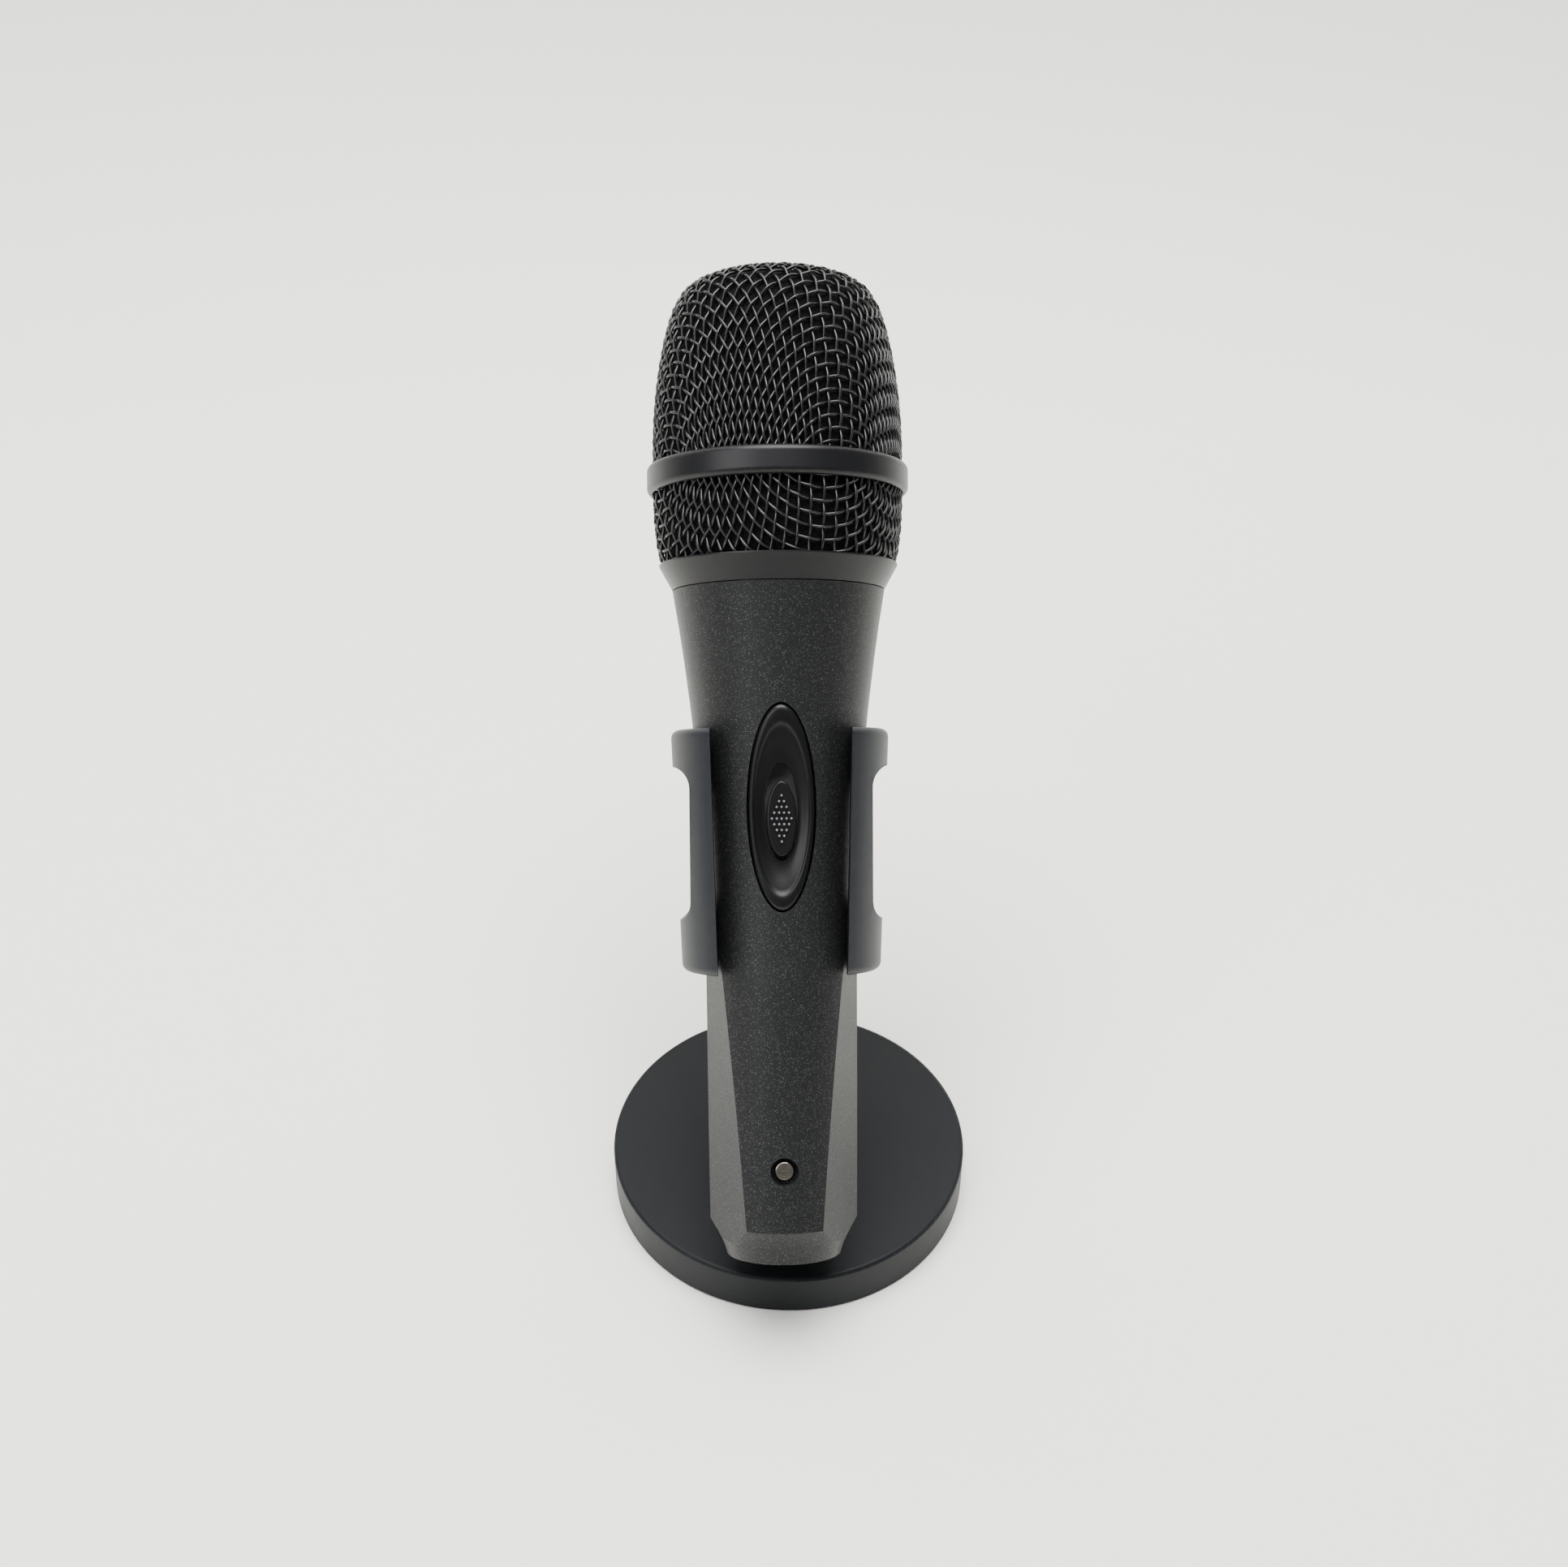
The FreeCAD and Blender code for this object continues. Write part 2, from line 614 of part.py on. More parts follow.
def switch_bezel():
    block = oval_block(BEZEL_W, BEZEL_L, SWITCH_S, BEZEL_FRONT - 6, BEZEL_FRONT + BEZEL_DEPTH)
    block = block.common(handle_skin(BEZEL_PROUD))
    dish_tool = oval_block(DISH_W, DISH_L, SWITCH_S, BEZEL_FRONT - 6, BEZEL_FRONT + BEZEL_DEPTH)
    dish_tool = dish_tool.cut(handle_skin(-DISH_SINK))
    block = block.cut(dish_tool)
    return block.cut(oval_block(SLOT_W, SLOT_L, SLOT_S, BEZEL_FRONT - 6, BEZEL_FRONT + BEZEL_DEPTH + 1))


def switch_slider():
    knob_front = BEZEL_FRONT + DISH_SINK - KNOB_PROUD
    back = BEZEL_FRONT + BEZEL_DEPTH + KNOB_GAP
    knob = oval_block(KNOB_W, KNOB_L, KNOB_S, knob_front, back - 1.0)
    rim = [e for e in knob.Edges if e.BoundBox.YMax < knob_front + 0.01]
    knob = knob.makeFillet(KNOB_RIM_R, rim)
    neck = box(KNOB_NECK_W, KNOB_NECK_T + KNOB_GAP, KNOB_NECK_L, Vector(0, back - 0.7, KNOB_S))
    knob = knob.fuse(neck)
    for row, count in enumerate(DOT_ROWS):
        s = KNOB_S + (row - (len(DOT_ROWS) - 1) / 2) * DOT_PITCH
        for place in range(count):
            x = (place - (count - 1) / 2) * DOT_PITCH * 0.85
            knob = knob.fuse(cylinder(DOT_R, DOT_H + 0.3, Vector(x, knob_front - DOT_H, s), Y))
    return knob.removeSplitter()


MODULE_FRONT = BEZEL_FRONT + BEZEL_DEPTH + 0.6
MODULE_BACK = MODULE_FRONT + MODULE_H


def switch_module():
    case = box(MODULE_W, MODULE_H, MODULE_L, Vector(0, MODULE_FRONT + MODULE_H / 2, SWITCH_S))
    track_low = KNOB_S - KNOB_NECK_L / 2 - KNOB_GAP
    track_high = KNOB_S + KNOB_NECK_L / 2 + KNOB_TRAVEL + KNOB_GAP
    track = box(KNOB_NECK_W + 2 * KNOB_GAP, KNOB_NECK_T, track_high - track_low,
                Vector(0, MODULE_FRONT + 0.2, (track_low + track_high) / 2))
    return case.cut(track)


def switch_board():
    return box(BOARD_W, BOARD_T, BOARD_L, Vector(0, MODULE_BACK + BOARD_T / 2, SWITCH_S))


# ================= head =================

def head_spigot():
    """Threaded ring in the handle's mouth, onto which the head screws."""
    low = TOP_S - SPIGOT_BELOW
    seat = handle_curve(HANDLE_WALL + RUN_FIT, low, TOP_S, 5)
    corners = [seat[-1], (SPIGOT_OUT_R, TOP_S), (SPIGOT_OUT_R, SPIGOT_TOP_S), (MOUNT_R, SPIGOT_TOP_S),
               (MOUNT_R, low), seat[0]]
    return turned([curve(seat)] + [line(a, b) for a, b in zip(corners, corners[1:])])


def grille_collar():
    low = TOP_S + GAP
    outer = [(TOP_R, low), (COLLAR_TOP_R - 0.35, COLLAR_TOP_S - 0.9), (COLLAR_TOP_R, COLLAR_TOP_S - 0.3),
             (COLLAR_TOP_R, COLLAR_TOP_S)]
    inner_r = SPIGOT_OUT_R + RUN_FIT * 2
    points = outer + [(inner_r, COLLAR_TOP_S), (inner_r, low), outer[0]]
    return turned([line(a, b) for a, b in zip(points, points[1:])])


def lower_profile(offset):
    return [(GRILLE_R * share - offset, COLLAR_TOP_S + CUP_H * height) for share, height in CUP_ROWS]


UPPER_ROWS = [(GRILLE_R * share, BAND_S + DOME_H * height) for share, height in DOME_ROWS]


def shell_between(outer, inner):
    """Thin turned shell between two profiles that run the same way."""
    edges = [curve(outer), line(outer[-1], inner[-1]), curve(inner), line(inner[0], outer[0])]
    return turned(edges)


def grille_lower():
    return shell_between(lower_profile(0), lower_profile(GRILLE_T))


def scaled_dome(offset):
    """The upper profile moved in by offset, square to its own surface at the side and the crown."""
    rows = []
    for r, s in UPPER_ROWS:
        share = r / GRILLE_R
        drop = offset * (s - BAND_S) / (APEX_S - BAND_S)
        rows.append((max(r - offset * share, 0.0), s - drop))
    return rows


def dome_curve(rows):
    return curve(rows, Vector(0, 0, 1), Vector(-1, 0, 0))


def dome_shell(outer_offset, inner_offset):
    outer = scaled_dome(outer_offset)
    inner = scaled_dome(inner_offset)
    edges = [dome_curve(outer), line(outer[-1], inner[-1]), dome_curve(inner), line(inner[0], outer[0])]
    return turned(edges)


def grille_upper():
    return dome_shell(0, GRILLE_T)


def grille_band():
    low = BAND_S - BAND_H / 2
    ring = cylinder(BAND_R, BAND_H, Z * low)
    rims = [e for e in ring.Edges if e.Curve.TypeId == "Part::GeomCircle"]
    ring = ring.makeFillet(BAND_EDGE_R, rims)
    return ring.cut(cylinder(GRILLE_R + 0.05, BAND_H + 2, Z * (low - 1)))


def foam_windscreen():
    start = GRILLE_T + SKIN_GAP
    dome = dome_shell(start, start + FOAM_T)
    low = COLLAR_TOP_S + SKIN_GAP
    top_r = GRILLE_R - start
    skirt = Part.makeCone(COLLAR_TOP_R - start - 0.2, top_r - 0.1, FOAM_FLARE, Z * low, Z, 360)
    skirt = skirt.fuse(cylinder(top_r, BAND_S - low - FOAM_FLARE, Z * (low + FOAM_FLARE)))
    skirt = skirt.cut(cylinder(top_r - FOAM_T, BAND_S - low + 2, Z * (low - 1)))
    return dome.fuse(skirt).removeSplitter()


# ================= capsule =================

def capsule_housing():
    cup = cylinder(CAPSULE_R, CAPSULE_TOP_S - CAPSULE_BOTTOM_S, Z * CAPSULE_BOTTOM_S)
    hollow = cylinder(CAPSULE_R - CAPSULE_WALL, CAPSULE_TOP_S - CAPSULE_BOTTOM_S, Z * (CAPSULE_BOTTOM_S + CAPSULE_WALL))
    return cup.cut(hollow)


def shock_mount():
    ring = cylinder(MOUNT_R, MOUNT_H, Z * MOUNT_S)
    ring = ring.cut(cylinder(CAPSULE_R, MOUNT_H + 2, Z * CAPSULE_BOTTOM_S))
    ring = ring.cut(cylinder(CAPSULE_R - MOUNT_LEDGE, MOUNT_H, Z * (MOUNT_S - 1)))
    groove = tube(MOUNT_R - MOUNT_SKIN, CAPSULE_R + MOUNT_SKIN, 5, Z * (MOUNT_S + MOUNT_H - 4))
    return ring.cut(groove)


YOKE_S = CAPSULE_TOP_S - CAP_T - YOKE_DROP - YOKE_H


def magnet_yoke():
    cup = cylinder(YOKE_R, YOKE_H, Z * YOKE_S)
    return cup.cut(cylinder(COIL_R + COIL_GAP, YOKE_H, Z * (YOKE_S + YOKE_FLOOR)))


def magnet():
    return cylinder(MAGNET_R, MAGNET_H, Z * (YOKE_S + YOKE_FLOOR))


def voice_coil():
    return tube(COIL_R, COIL_R - COIL_T, COIL_H, Z * (YOKE_S + YOKE_H + COIL_UP - COIL_H))


def diaphragm():
    s = YOKE_S + YOKE_H + COIL_UP
    rim = CAPSULE_R - CAPSULE_WALL - 0.05
    land = COIL_R - COIL_T
    under = [(0, s + 1.2), (land * 0.5, s + 0.9), (land, s), (COIL_R, s), ((COIL_R + rim) / 2, s + 0.6), (rim, s)]
    over = [(r, z + DIAPHRAGM_T) for r, z in reversed(under)]
    loop = under + over + under[:1]
    return turned([line(a, b) for a, b in zip(loop, loop[1:])])


def capsule_spacer():
    rim = CAPSULE_R - CAPSULE_WALL
    return tube(rim, YOKE_R + GAP / 2, YOKE_H, Z * YOKE_S).fuse(tube(rim, SPACER_BORE_R, SPACER_FLOOR, Z * (YOKE_S - SPACER_FLOOR)))


def resonator_cap():
    disc = cylinder(CAPSULE_R - CAPSULE_WALL, CAP_T, Z * (CAPSULE_TOP_S - CAP_T))
    for ring_r, count in CAP_RINGS:
        for i in range(count):
            turn = 2 * math.pi * i / count
            spot = Vector(ring_r * math.cos(turn), ring_r * math.sin(turn), CAPSULE_TOP_S - CAP_T - 1)
            disc = disc.cut(cylinder(CAP_HOLE_R, CAP_T + 2, spot))
    return disc


ON_DESK = (base_shell, base_weight, base_pad, stem_post, stem_bolt, stem_washer)
ON_STEM = (thread_insert, swivel_adapter, hinge_bolt, hinge_nut)
ALONG_MIC = (
    clip_body, clip_liner, handle_shell, lock_screw, socket_insert, contact_pins, leads,
    switch_bezel, switch_slider, switch_module, switch_board, head_spigot, shock_mount,
    capsule_housing, capsule_spacer, magnet_yoke, magnet, voice_coil, diaphragm, resonator_cap,
    grille_collar, grille_lower, grille_band, grille_upper, foam_windscreen,
)

for group, place in ((ON_DESK, Placement()), (ON_STEM, SWUNG), (ALONG_MIC, TILT)):
    for make in group:
        save(make.__name__, placed(make(), place))
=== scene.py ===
# %% [markdown]
# # A vocal microphone in its desk stand
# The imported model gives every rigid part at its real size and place. This lesson adds what a solid
# model can't show: woven wire, foam, paint, soft plastic, and the light of a small table studio.

# %% Load the frame
import json
import math

import bmesh
import bpy
import numpy as np
from mathutils import Matrix, Vector


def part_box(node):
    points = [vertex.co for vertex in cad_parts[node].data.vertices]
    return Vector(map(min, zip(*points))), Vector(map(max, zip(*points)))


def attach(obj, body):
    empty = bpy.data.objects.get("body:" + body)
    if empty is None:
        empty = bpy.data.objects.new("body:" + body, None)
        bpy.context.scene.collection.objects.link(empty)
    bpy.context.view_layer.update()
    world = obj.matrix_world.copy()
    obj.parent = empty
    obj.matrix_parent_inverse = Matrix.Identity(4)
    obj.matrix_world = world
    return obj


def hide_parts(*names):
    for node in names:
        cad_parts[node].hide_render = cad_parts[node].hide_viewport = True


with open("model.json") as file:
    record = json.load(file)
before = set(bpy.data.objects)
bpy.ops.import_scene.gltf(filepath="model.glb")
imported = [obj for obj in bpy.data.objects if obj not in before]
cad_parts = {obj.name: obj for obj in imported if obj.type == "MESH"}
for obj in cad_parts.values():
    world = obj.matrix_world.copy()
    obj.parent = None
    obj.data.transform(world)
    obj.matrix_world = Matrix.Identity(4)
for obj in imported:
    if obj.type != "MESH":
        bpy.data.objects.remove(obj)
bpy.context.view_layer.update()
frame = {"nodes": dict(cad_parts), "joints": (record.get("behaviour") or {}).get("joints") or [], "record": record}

MM = 0.001

# %% [markdown]
# ## Camera
# The camera stands close and looks down at about 37 degrees, which makes the head look large and
# the base small. Its place is in metres and its angles are in degrees. Depth of field stays off,
# so that every wire is sharp.

# %% Camera
CAMERA_PLACE = Vector((-0.0014, -0.2636, 0.3070))
CAMERA_PITCH = 37.21
CAMERA_ROLL = 0.29
CAMERA_LENS = 41.0
SENSOR_WIDE = 36.0
CLIP_START = 0.01

camera_data = bpy.data.cameras.new("camera")
camera_data.lens = CAMERA_LENS
camera_data.sensor_width = SENSOR_WIDE
camera_data.clip_start = CLIP_START
camera = bpy.data.objects.new("camera", camera_data)
bpy.context.collection.objects.link(camera)
pitch_turn = Matrix.Rotation(math.radians(90 - CAMERA_PITCH), 4, "X")
roll_turn = Matrix.Rotation(math.radians(CAMERA_ROLL), 4, "Z")
camera.matrix_world = Matrix.Translation(CAMERA_PLACE) @ (pitch_turn @ roll_turn)
bpy.context.scene.camera = camera
print("camera at", [round(v, 3) for v in camera.location])

# %% [markdown]
# ## The microphone's own axis
# Everything on the microphone is turned about one leaning line. We read that line from the frame:
# the head lifts off along it, the middle of the ring around the head lies on it, and the clip's
# hinge gives the sideways direction. Then a piece can be built upright, in millimetres up from the
# socket end, and put in place by one matrix.

# %% Microphone axis
RING_STATION = 153.2
joints = {joint["name"]: joint for joint in frame["joints"]}
mic_axis = Vector(joints["head_lift"]["axis"]).normalized()
ring_low, ring_high = (Vector(corner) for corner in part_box("grille_band"))
ring_centre = (ring_low + ring_high) / 2
neck_centre = ring_centre - mic_axis * RING_STATION * MM
mic_side = -Vector(joints["clip_tilt"]["axis"]).normalized()
mic_back = mic_axis.cross(mic_side).normalized()
mic_turn = Matrix((mic_side, mic_back, mic_axis)).transposed().to_4x4()
mic_place = Matrix.Translation(neck_centre) @ mic_turn @ Matrix.Scale(MM, 4)
lean = math.degrees(mic_axis.angle((0, 0, 1)))
print("socket end at", [round(v, 4) for v in neck_centre], "leaning", round(lean, 1))

# %% [markdown]
# ## Small helpers
# One helper turns lists of points and faces into an object, one turns the faces of a closed piece
# outwards, and one gives a piece its body, its material slot and its finish together, so that no
# piece is forgotten.


# %% Helpers
def new_piece(name, points, faces, edges=()):
    mesh = bpy.data.meshes.new(name)
    mesh.from_pydata([tuple(point) for point in points], list(edges), list(faces))
    mesh.update()
    piece = bpy.data.objects.new(name, mesh)
    bpy.context.collection.objects.link(piece)
    return piece


def outward(piece):
    """Turns every face of a closed piece outwards."""
    work = bmesh.new()
    work.from_mesh(piece.data)
    bmesh.ops.recalc_face_normals(work, faces=work.faces)
    work.to_mesh(piece.data)
    work.free()


def smooth_faces(piece, angle=None):
    piece.data.polygons.foreach_set("use_smooth", [True] * len(piece.data.polygons))
    if angle is not None:
        piece.data.set_sharp_from_angle(angle=math.radians(angle))
    piece.data.update()


def finish_piece(piece, body, material):
    piece.data.materials.clear()
    piece.data.materials.append(material)
    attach(piece, body)
    print(f"{piece.name}: {len(piece.data.polygons)} faces on {body}")


# %% [markdown]
# ## Shared effects as node groups
# Paint, plastic and metal all carry fine grain and a little dust, at different sizes. A node group
# is made once, with named inputs, and each material sets its own values. Groups only put out
# masks and heights. The shader itself stays in the material, where it is easy to find.


# %% Node group helpers
def new_group(name, inputs, outputs):
    group = bpy.data.node_groups.new(name, "ShaderNodeTree")
    for title, kind, value in inputs:
        socket = group.interface.new_socket(name=title, in_out="INPUT", socket_type=kind)
        if value is not None:
            socket.default_value = value
    for title, kind in outputs:
        group.interface.new_socket(name=title, in_out="OUTPUT", socket_type=kind)
    return group, group.nodes.new("NodeGroupInput"), group.nodes.new("NodeGroupOutput")


def add_math(tree, operation, *values):
    """A Math node whose inputs are plain numbers or other nodes' outputs."""
    node = tree.nodes.new("ShaderNodeMath")
    node.operation = operation
    for socket, value in zip(node.inputs, values):
        if isinstance(value, (int, float)):
            socket.default_value = value
        else:
            tree.links.new(value, socket)
    return node.outputs[0]


def add_cells(group, given):
    """Voronoi cells at the group's position and scale, and their random colours split in three."""
    cells = group.nodes.new("ShaderNodeTexVoronoi")
    cells.inputs["Randomness"].default_value = 1.0
    group.links.new(given.outputs["Position"], cells.inputs["Vector"])
    group.links.new(given.outputs["Scale"], cells.inputs["Scale"])
    split = group.nodes.new("ShaderNodeSeparateColor")
    group.links.new(cells.outputs["Color"], split.inputs["Color"])
    return cells, split


FLOAT = "NodeSocketFloat"
VECTOR = "NodeSocketVector"


# %% Grain group
def make_grain_group():
    """Fine even noise: moulded plastic's skin, powder coat, cast rubber."""
    group, given, result = new_group(
        "fine_grain", [("Position", VECTOR, None), ("Scale", FLOAT, 900.0), ("Blotch Scale", FLOAT, 40.0)],
        [("Grain", FLOAT), ("Blotch", FLOAT)])
    for name, scale, detail in (("Grain", "Scale", 3.0), ("Blotch", "Blotch Scale", 4.0)):
        noise = group.nodes.new("ShaderNodeTexNoise")
        noise.inputs["Detail"].default_value = detail
        group.links.new(given.outputs["Position"], noise.inputs["Vector"])
        group.links.new(given.outputs[scale], noise.inputs["Scale"])
        group.links.new(noise.outputs["Fac"], result.inputs[name])
    return group


# %% Flake group
def make_flake_group():
    """Metal flakes in paint: tiny cells, of which a few are bright."""
    group, given, result = new_group(
        "paint_flakes", [("Position", VECTOR, None), ("Scale", FLOAT, 3500.0), ("Share", FLOAT, 0.12)],
        [("Flakes", FLOAT), ("Tone", FLOAT)])
    _, split = add_cells(group, given)
    chosen = add_math(group, "LESS_THAN", split.outputs["Red"], given.outputs["Share"])
    group.links.new(add_math(group, "MULTIPLY", chosen, split.outputs["Green"]), result.inputs["Flakes"])
    group.links.new(split.outputs["Blue"], result.inputs["Tone"])
    return group


# %% Dust group
SPECK_R = 0.16


def make_dust_group():
    """Sparse specks and lint-like patches that settle on dark parts."""
    group, given, result = new_group(
        "settled_dust", [("Position", VECTOR, None), ("Scale", FLOAT, 320.0), ("Amount", FLOAT, 0.04)],
        [("Specks", FLOAT)])
    cells, split = add_cells(group, given)
    chosen = add_math(group, "LESS_THAN", split.outputs["Red"], given.outputs["Amount"])
    near = add_math(group, "LESS_THAN", cells.outputs["Distance"], SPECK_R)
    group.links.new(add_math(group, "MULTIPLY", chosen, near), result.inputs["Specks"])
    return group


GRAIN = make_grain_group()
FLAKES = make_flake_group()
DUST = make_dust_group()
print("effects:", GRAIN.name, FLAKES.name, DUST.name)

# %% [markdown]
# ## One way to write a finish
# Every finish here is a base colour that varies a little, a roughness that varies a little, and a
# shallow bump. The recipe is a function, and each part of the object calls it with its own numbers.
# Values that are even all over the surface go straight on the shader's sockets.


# %% Finish recipe
DUST_COLOUR = (0.45, 0.44, 0.42)
COAT_ROUGHNESS = 0.25


def blend_colour(tree, factor, first, second):
    mix = tree.nodes.new("ShaderNodeMix")
    mix.data_type = "RGBA"
    tree.links.new(factor, mix.inputs["Factor"])
    for socket, value in ((mix.inputs[6], first), (mix.inputs[7], second)):
        if isinstance(value, tuple):
            socket.default_value = (*value, 1.0)
        else:
            tree.links.new(value, socket)
    return mix.outputs[2]


def place_group(tree, group, position, **values):
    node = tree.nodes.new("ShaderNodeGroup")
    node.node_tree = group
    tree.links.new(position, node.inputs["Position"])
    for name, value in values.items():
        node.inputs[name.replace("_", " ")].default_value = value
    return node


def add_bump(tree, shader, height, strength, distance):
    bump = tree.nodes.new("ShaderNodeBump")
    bump.inputs["Strength"].default_value = strength
    bump.inputs["Distance"].default_value = distance
    tree.links.new(height, bump.inputs["Height"])
    tree.links.new(bump.outputs["Normal"], shader.inputs["Normal"])


def start_finish(name):
    material = bpy.data.materials.new(name)
    material.use_nodes = True
    tree = material.node_tree
    shader = tree.nodes["Principled BSDF"]
    position = tree.nodes.new("ShaderNodeTexCoord").outputs["Object"]
    return material, tree, shader, position


def grained(name, dark, light, rough, rough_swing=0.1, grain=1100.0, blotch=45.0, bump=0.12,
            bump_depth=0.00008, metal=0.0, specular=0.5, dust=0.0, dust_scale=320.0, coat=0.0):
    """A finish whose colour runs from dark to light by blotches, with a fine grain in its bump."""
    material, tree, shader, position = start_finish(name)
    fine = place_group(tree, GRAIN, position, Scale=grain, Blotch_Scale=blotch)
    tone = add_math(tree, "ADD", add_math(tree, "MULTIPLY", fine.outputs["Blotch"], 0.7),
                    add_math(tree, "MULTIPLY", fine.outputs["Grain"], 0.3))
    colour = blend_colour(tree, tone, dark, light)
    if dust:
        specks = place_group(tree, DUST, position, Scale=dust_scale, Amount=dust)
        colour = blend_colour(tree, specks.outputs["Specks"], colour, DUST_COLOUR)
    tree.links.new(colour, shader.inputs["Base Color"])
    swing = add_math(tree, "MULTIPLY_ADD", fine.outputs["Blotch"], rough_swing, rough - rough_swing / 2)
    tree.links.new(swing, shader.inputs["Roughness"])
    add_bump(tree, shader, fine.outputs["Grain"], bump, bump_depth)
    shader.inputs["Metallic"].default_value = metal
    shader.inputs["Specular IOR Level"].default_value = specular
    shader.inputs["Coat Weight"].default_value = coat
    shader.inputs["Coat Roughness"].default_value = COAT_ROUGHNESS
    return material


# %% [markdown]
# ## Handle paint
# The handle is charcoal paint with fine metal flakes under a satin lacquer. From a distance it
# reads as grey, and close up it sparkles, because each flake lies at its own angle. Voronoi cells
# give each flake a random brightness, and the same cells tilt the surface a little.


# %% Handle paint
def handle_paint():
    material, tree, shader, position = start_finish("handle_paint")
    flakes = place_group(tree, FLAKES, position, Scale=9000.0, Share=0.10)
    fine = place_group(tree, GRAIN, position, Scale=1500.0, Blotch_Scale=60.0)
    base = blend_colour(tree, fine.outputs["Blotch"], (0.010, 0.0105, 0.011), (0.011, 0.0115, 0.012))
    colour = blend_colour(tree, flakes.outputs["Flakes"], base, (0.09, 0.09, 0.095))
    tree.links.new(colour, shader.inputs["Base Color"])
    shader.inputs["Metallic"].default_value = 0.35
    rough = add_math(tree, "MULTIPLY_ADD", flakes.outputs["Tone"], 0.12, 0.40)
    tree.links.new(rough, shader.inputs["Roughness"])
    height = add_math(tree, "ADD", flakes.outputs["Tone"], fine.outputs["Grain"])
    add_bump(tree, shader, height, 0.10, 0.00005)
    shader.inputs["Specular IOR Level"].default_value = 0.32
    return material


# %% [markdown]
# ## All finishes of the object
# Black lacquer, grey plastic, rubber, bare metal: each row gives the two colours that a finish runs
# between, its roughness, and what else differs from the recipe's usual values. A table is easier to
# compare and to tune than one block of nodes for each. The inside pieces get a finish too, because
# they come into view when the head is lifted off.

# %% All finishes
FINISHES = {
    "base_paint": grained("base_paint", (0.005, 0.006, 0.007), (0.008, 0.009, 0.011), 0.46, dust=0.005,
                          dust_scale=420.0, bump=0.15, specular=0.12),
    "ballast_iron": grained("ballast_iron", (0.10, 0.10, 0.10), (0.20, 0.19, 0.18), 0.65, metal=0.9,
                            grain=500.0, bump=0.5),
    "pad_rubber": grained("pad_rubber", (0.012, 0.012, 0.012), (0.022, 0.022, 0.022), 0.85, bump=0.4),
    "stem_steel": grained("stem_steel", (0.42, 0.42, 0.43), (0.55, 0.55, 0.55), 0.28, metal=1.0, bump=0.05),
    "insert_brass": grained("insert_brass", (0.60, 0.42, 0.16), (0.72, 0.52, 0.24), 0.30, metal=1.0,
                            bump=0.05),
    "clip_plastic": grained("clip_plastic", (0.004, 0.005, 0.008), (0.006, 0.008, 0.012), 0.46,
                            dust=0.003, bump=0.18, specular=0.28),
    "liner_rubber": grained("liner_rubber", (0.015, 0.015, 0.016), (0.025, 0.025, 0.026), 0.8, bump=0.3),
    "handle_paint": handle_paint(),
    "screw_nickel": grained("screw_nickel", (0.22, 0.20, 0.17), (0.36, 0.33, 0.28), 0.25, metal=1.0,
                            bump=0.08),
    "socket_plastic": grained("socket_plastic", (0.02, 0.02, 0.02), (0.03, 0.03, 0.03), 0.5),
    "contact_silver": grained("contact_silver", (0.70, 0.70, 0.68), (0.82, 0.82, 0.80), 0.18, metal=1.0,
                              bump=0.03),
    "lead_jacket": grained("lead_jacket", (0.40, 0.02, 0.02), (0.50, 0.04, 0.03), 0.35),
    "switch_plastic": grained("switch_plastic", (0.002, 0.002, 0.0025), (0.004, 0.004, 0.0045), 0.34,
                              bump=0.12, specular=0.25),
    "module_plastic": grained("module_plastic", (0.06, 0.06, 0.06), (0.09, 0.09, 0.09), 0.5),
    "board_green": grained("board_green", (0.01, 0.12, 0.04), (0.02, 0.18, 0.06), 0.3, coat=0.5),
    "spigot_alloy": grained("spigot_alloy", (0.60, 0.60, 0.61), (0.72, 0.72, 0.73), 0.3, metal=1.0,
                            bump=0.06),
    "mount_rubber": grained("mount_rubber", (0.02, 0.02, 0.02), (0.035, 0.035, 0.035), 0.75, bump=0.3),
    "yoke_steel": grained("yoke_steel", (0.50, 0.50, 0.52), (0.62, 0.62, 0.62), 0.3, metal=1.0),
    "magnet_steel": grained("magnet_steel", (0.32, 0.32, 0.34), (0.42, 0.42, 0.44), 0.35, metal=1.0),
    "coil_copper": grained("coil_copper", (0.62, 0.24, 0.10), (0.75, 0.34, 0.16), 0.3, metal=1.0),
    "diaphragm_film": grained("diaphragm_film", (0.55, 0.48, 0.30), (0.65, 0.58, 0.40), 0.2, coat=0.4),
    "cap_plastic": grained("cap_plastic", (0.04, 0.04, 0.04), (0.06, 0.06, 0.06), 0.5),
    "collar_paint": grained("collar_paint", (0.003, 0.003, 0.004), (0.005, 0.005, 0.006), 0.38,
                            dust=0.004, bump=0.12, specular=0.28),
    "grille_wire": grained("grille_wire", (0.004, 0.004, 0.005), (0.007, 0.007, 0.008), 0.30, bump=0.15,
                           grain=2500.0),
    "foam": grained("foam", (0.002, 0.002, 0.002), (0.006, 0.006, 0.006), 1.0, grain=1600.0, bump=1.0,
                    bump_depth=0.0005, specular=0.1),
}
print(len(FINISHES), "finishes")

# %% [markdown]
# ## Paint the solid parts
# The frame already holds every rigid part as a mesh. We leave those meshes as they are and only give
# each one the finish that its record names, so that shape and look stay apart.

# %% Paint the solid parts
slot_of = {part["node"]: part["material_slot"] for part in frame["record"]["subparts"]}
for node, piece in frame["nodes"].items():
    piece.data.materials.clear()
    piece.data.materials.append(FINISHES[slot_of[node]])
print(len(slot_of), "solid parts painted")

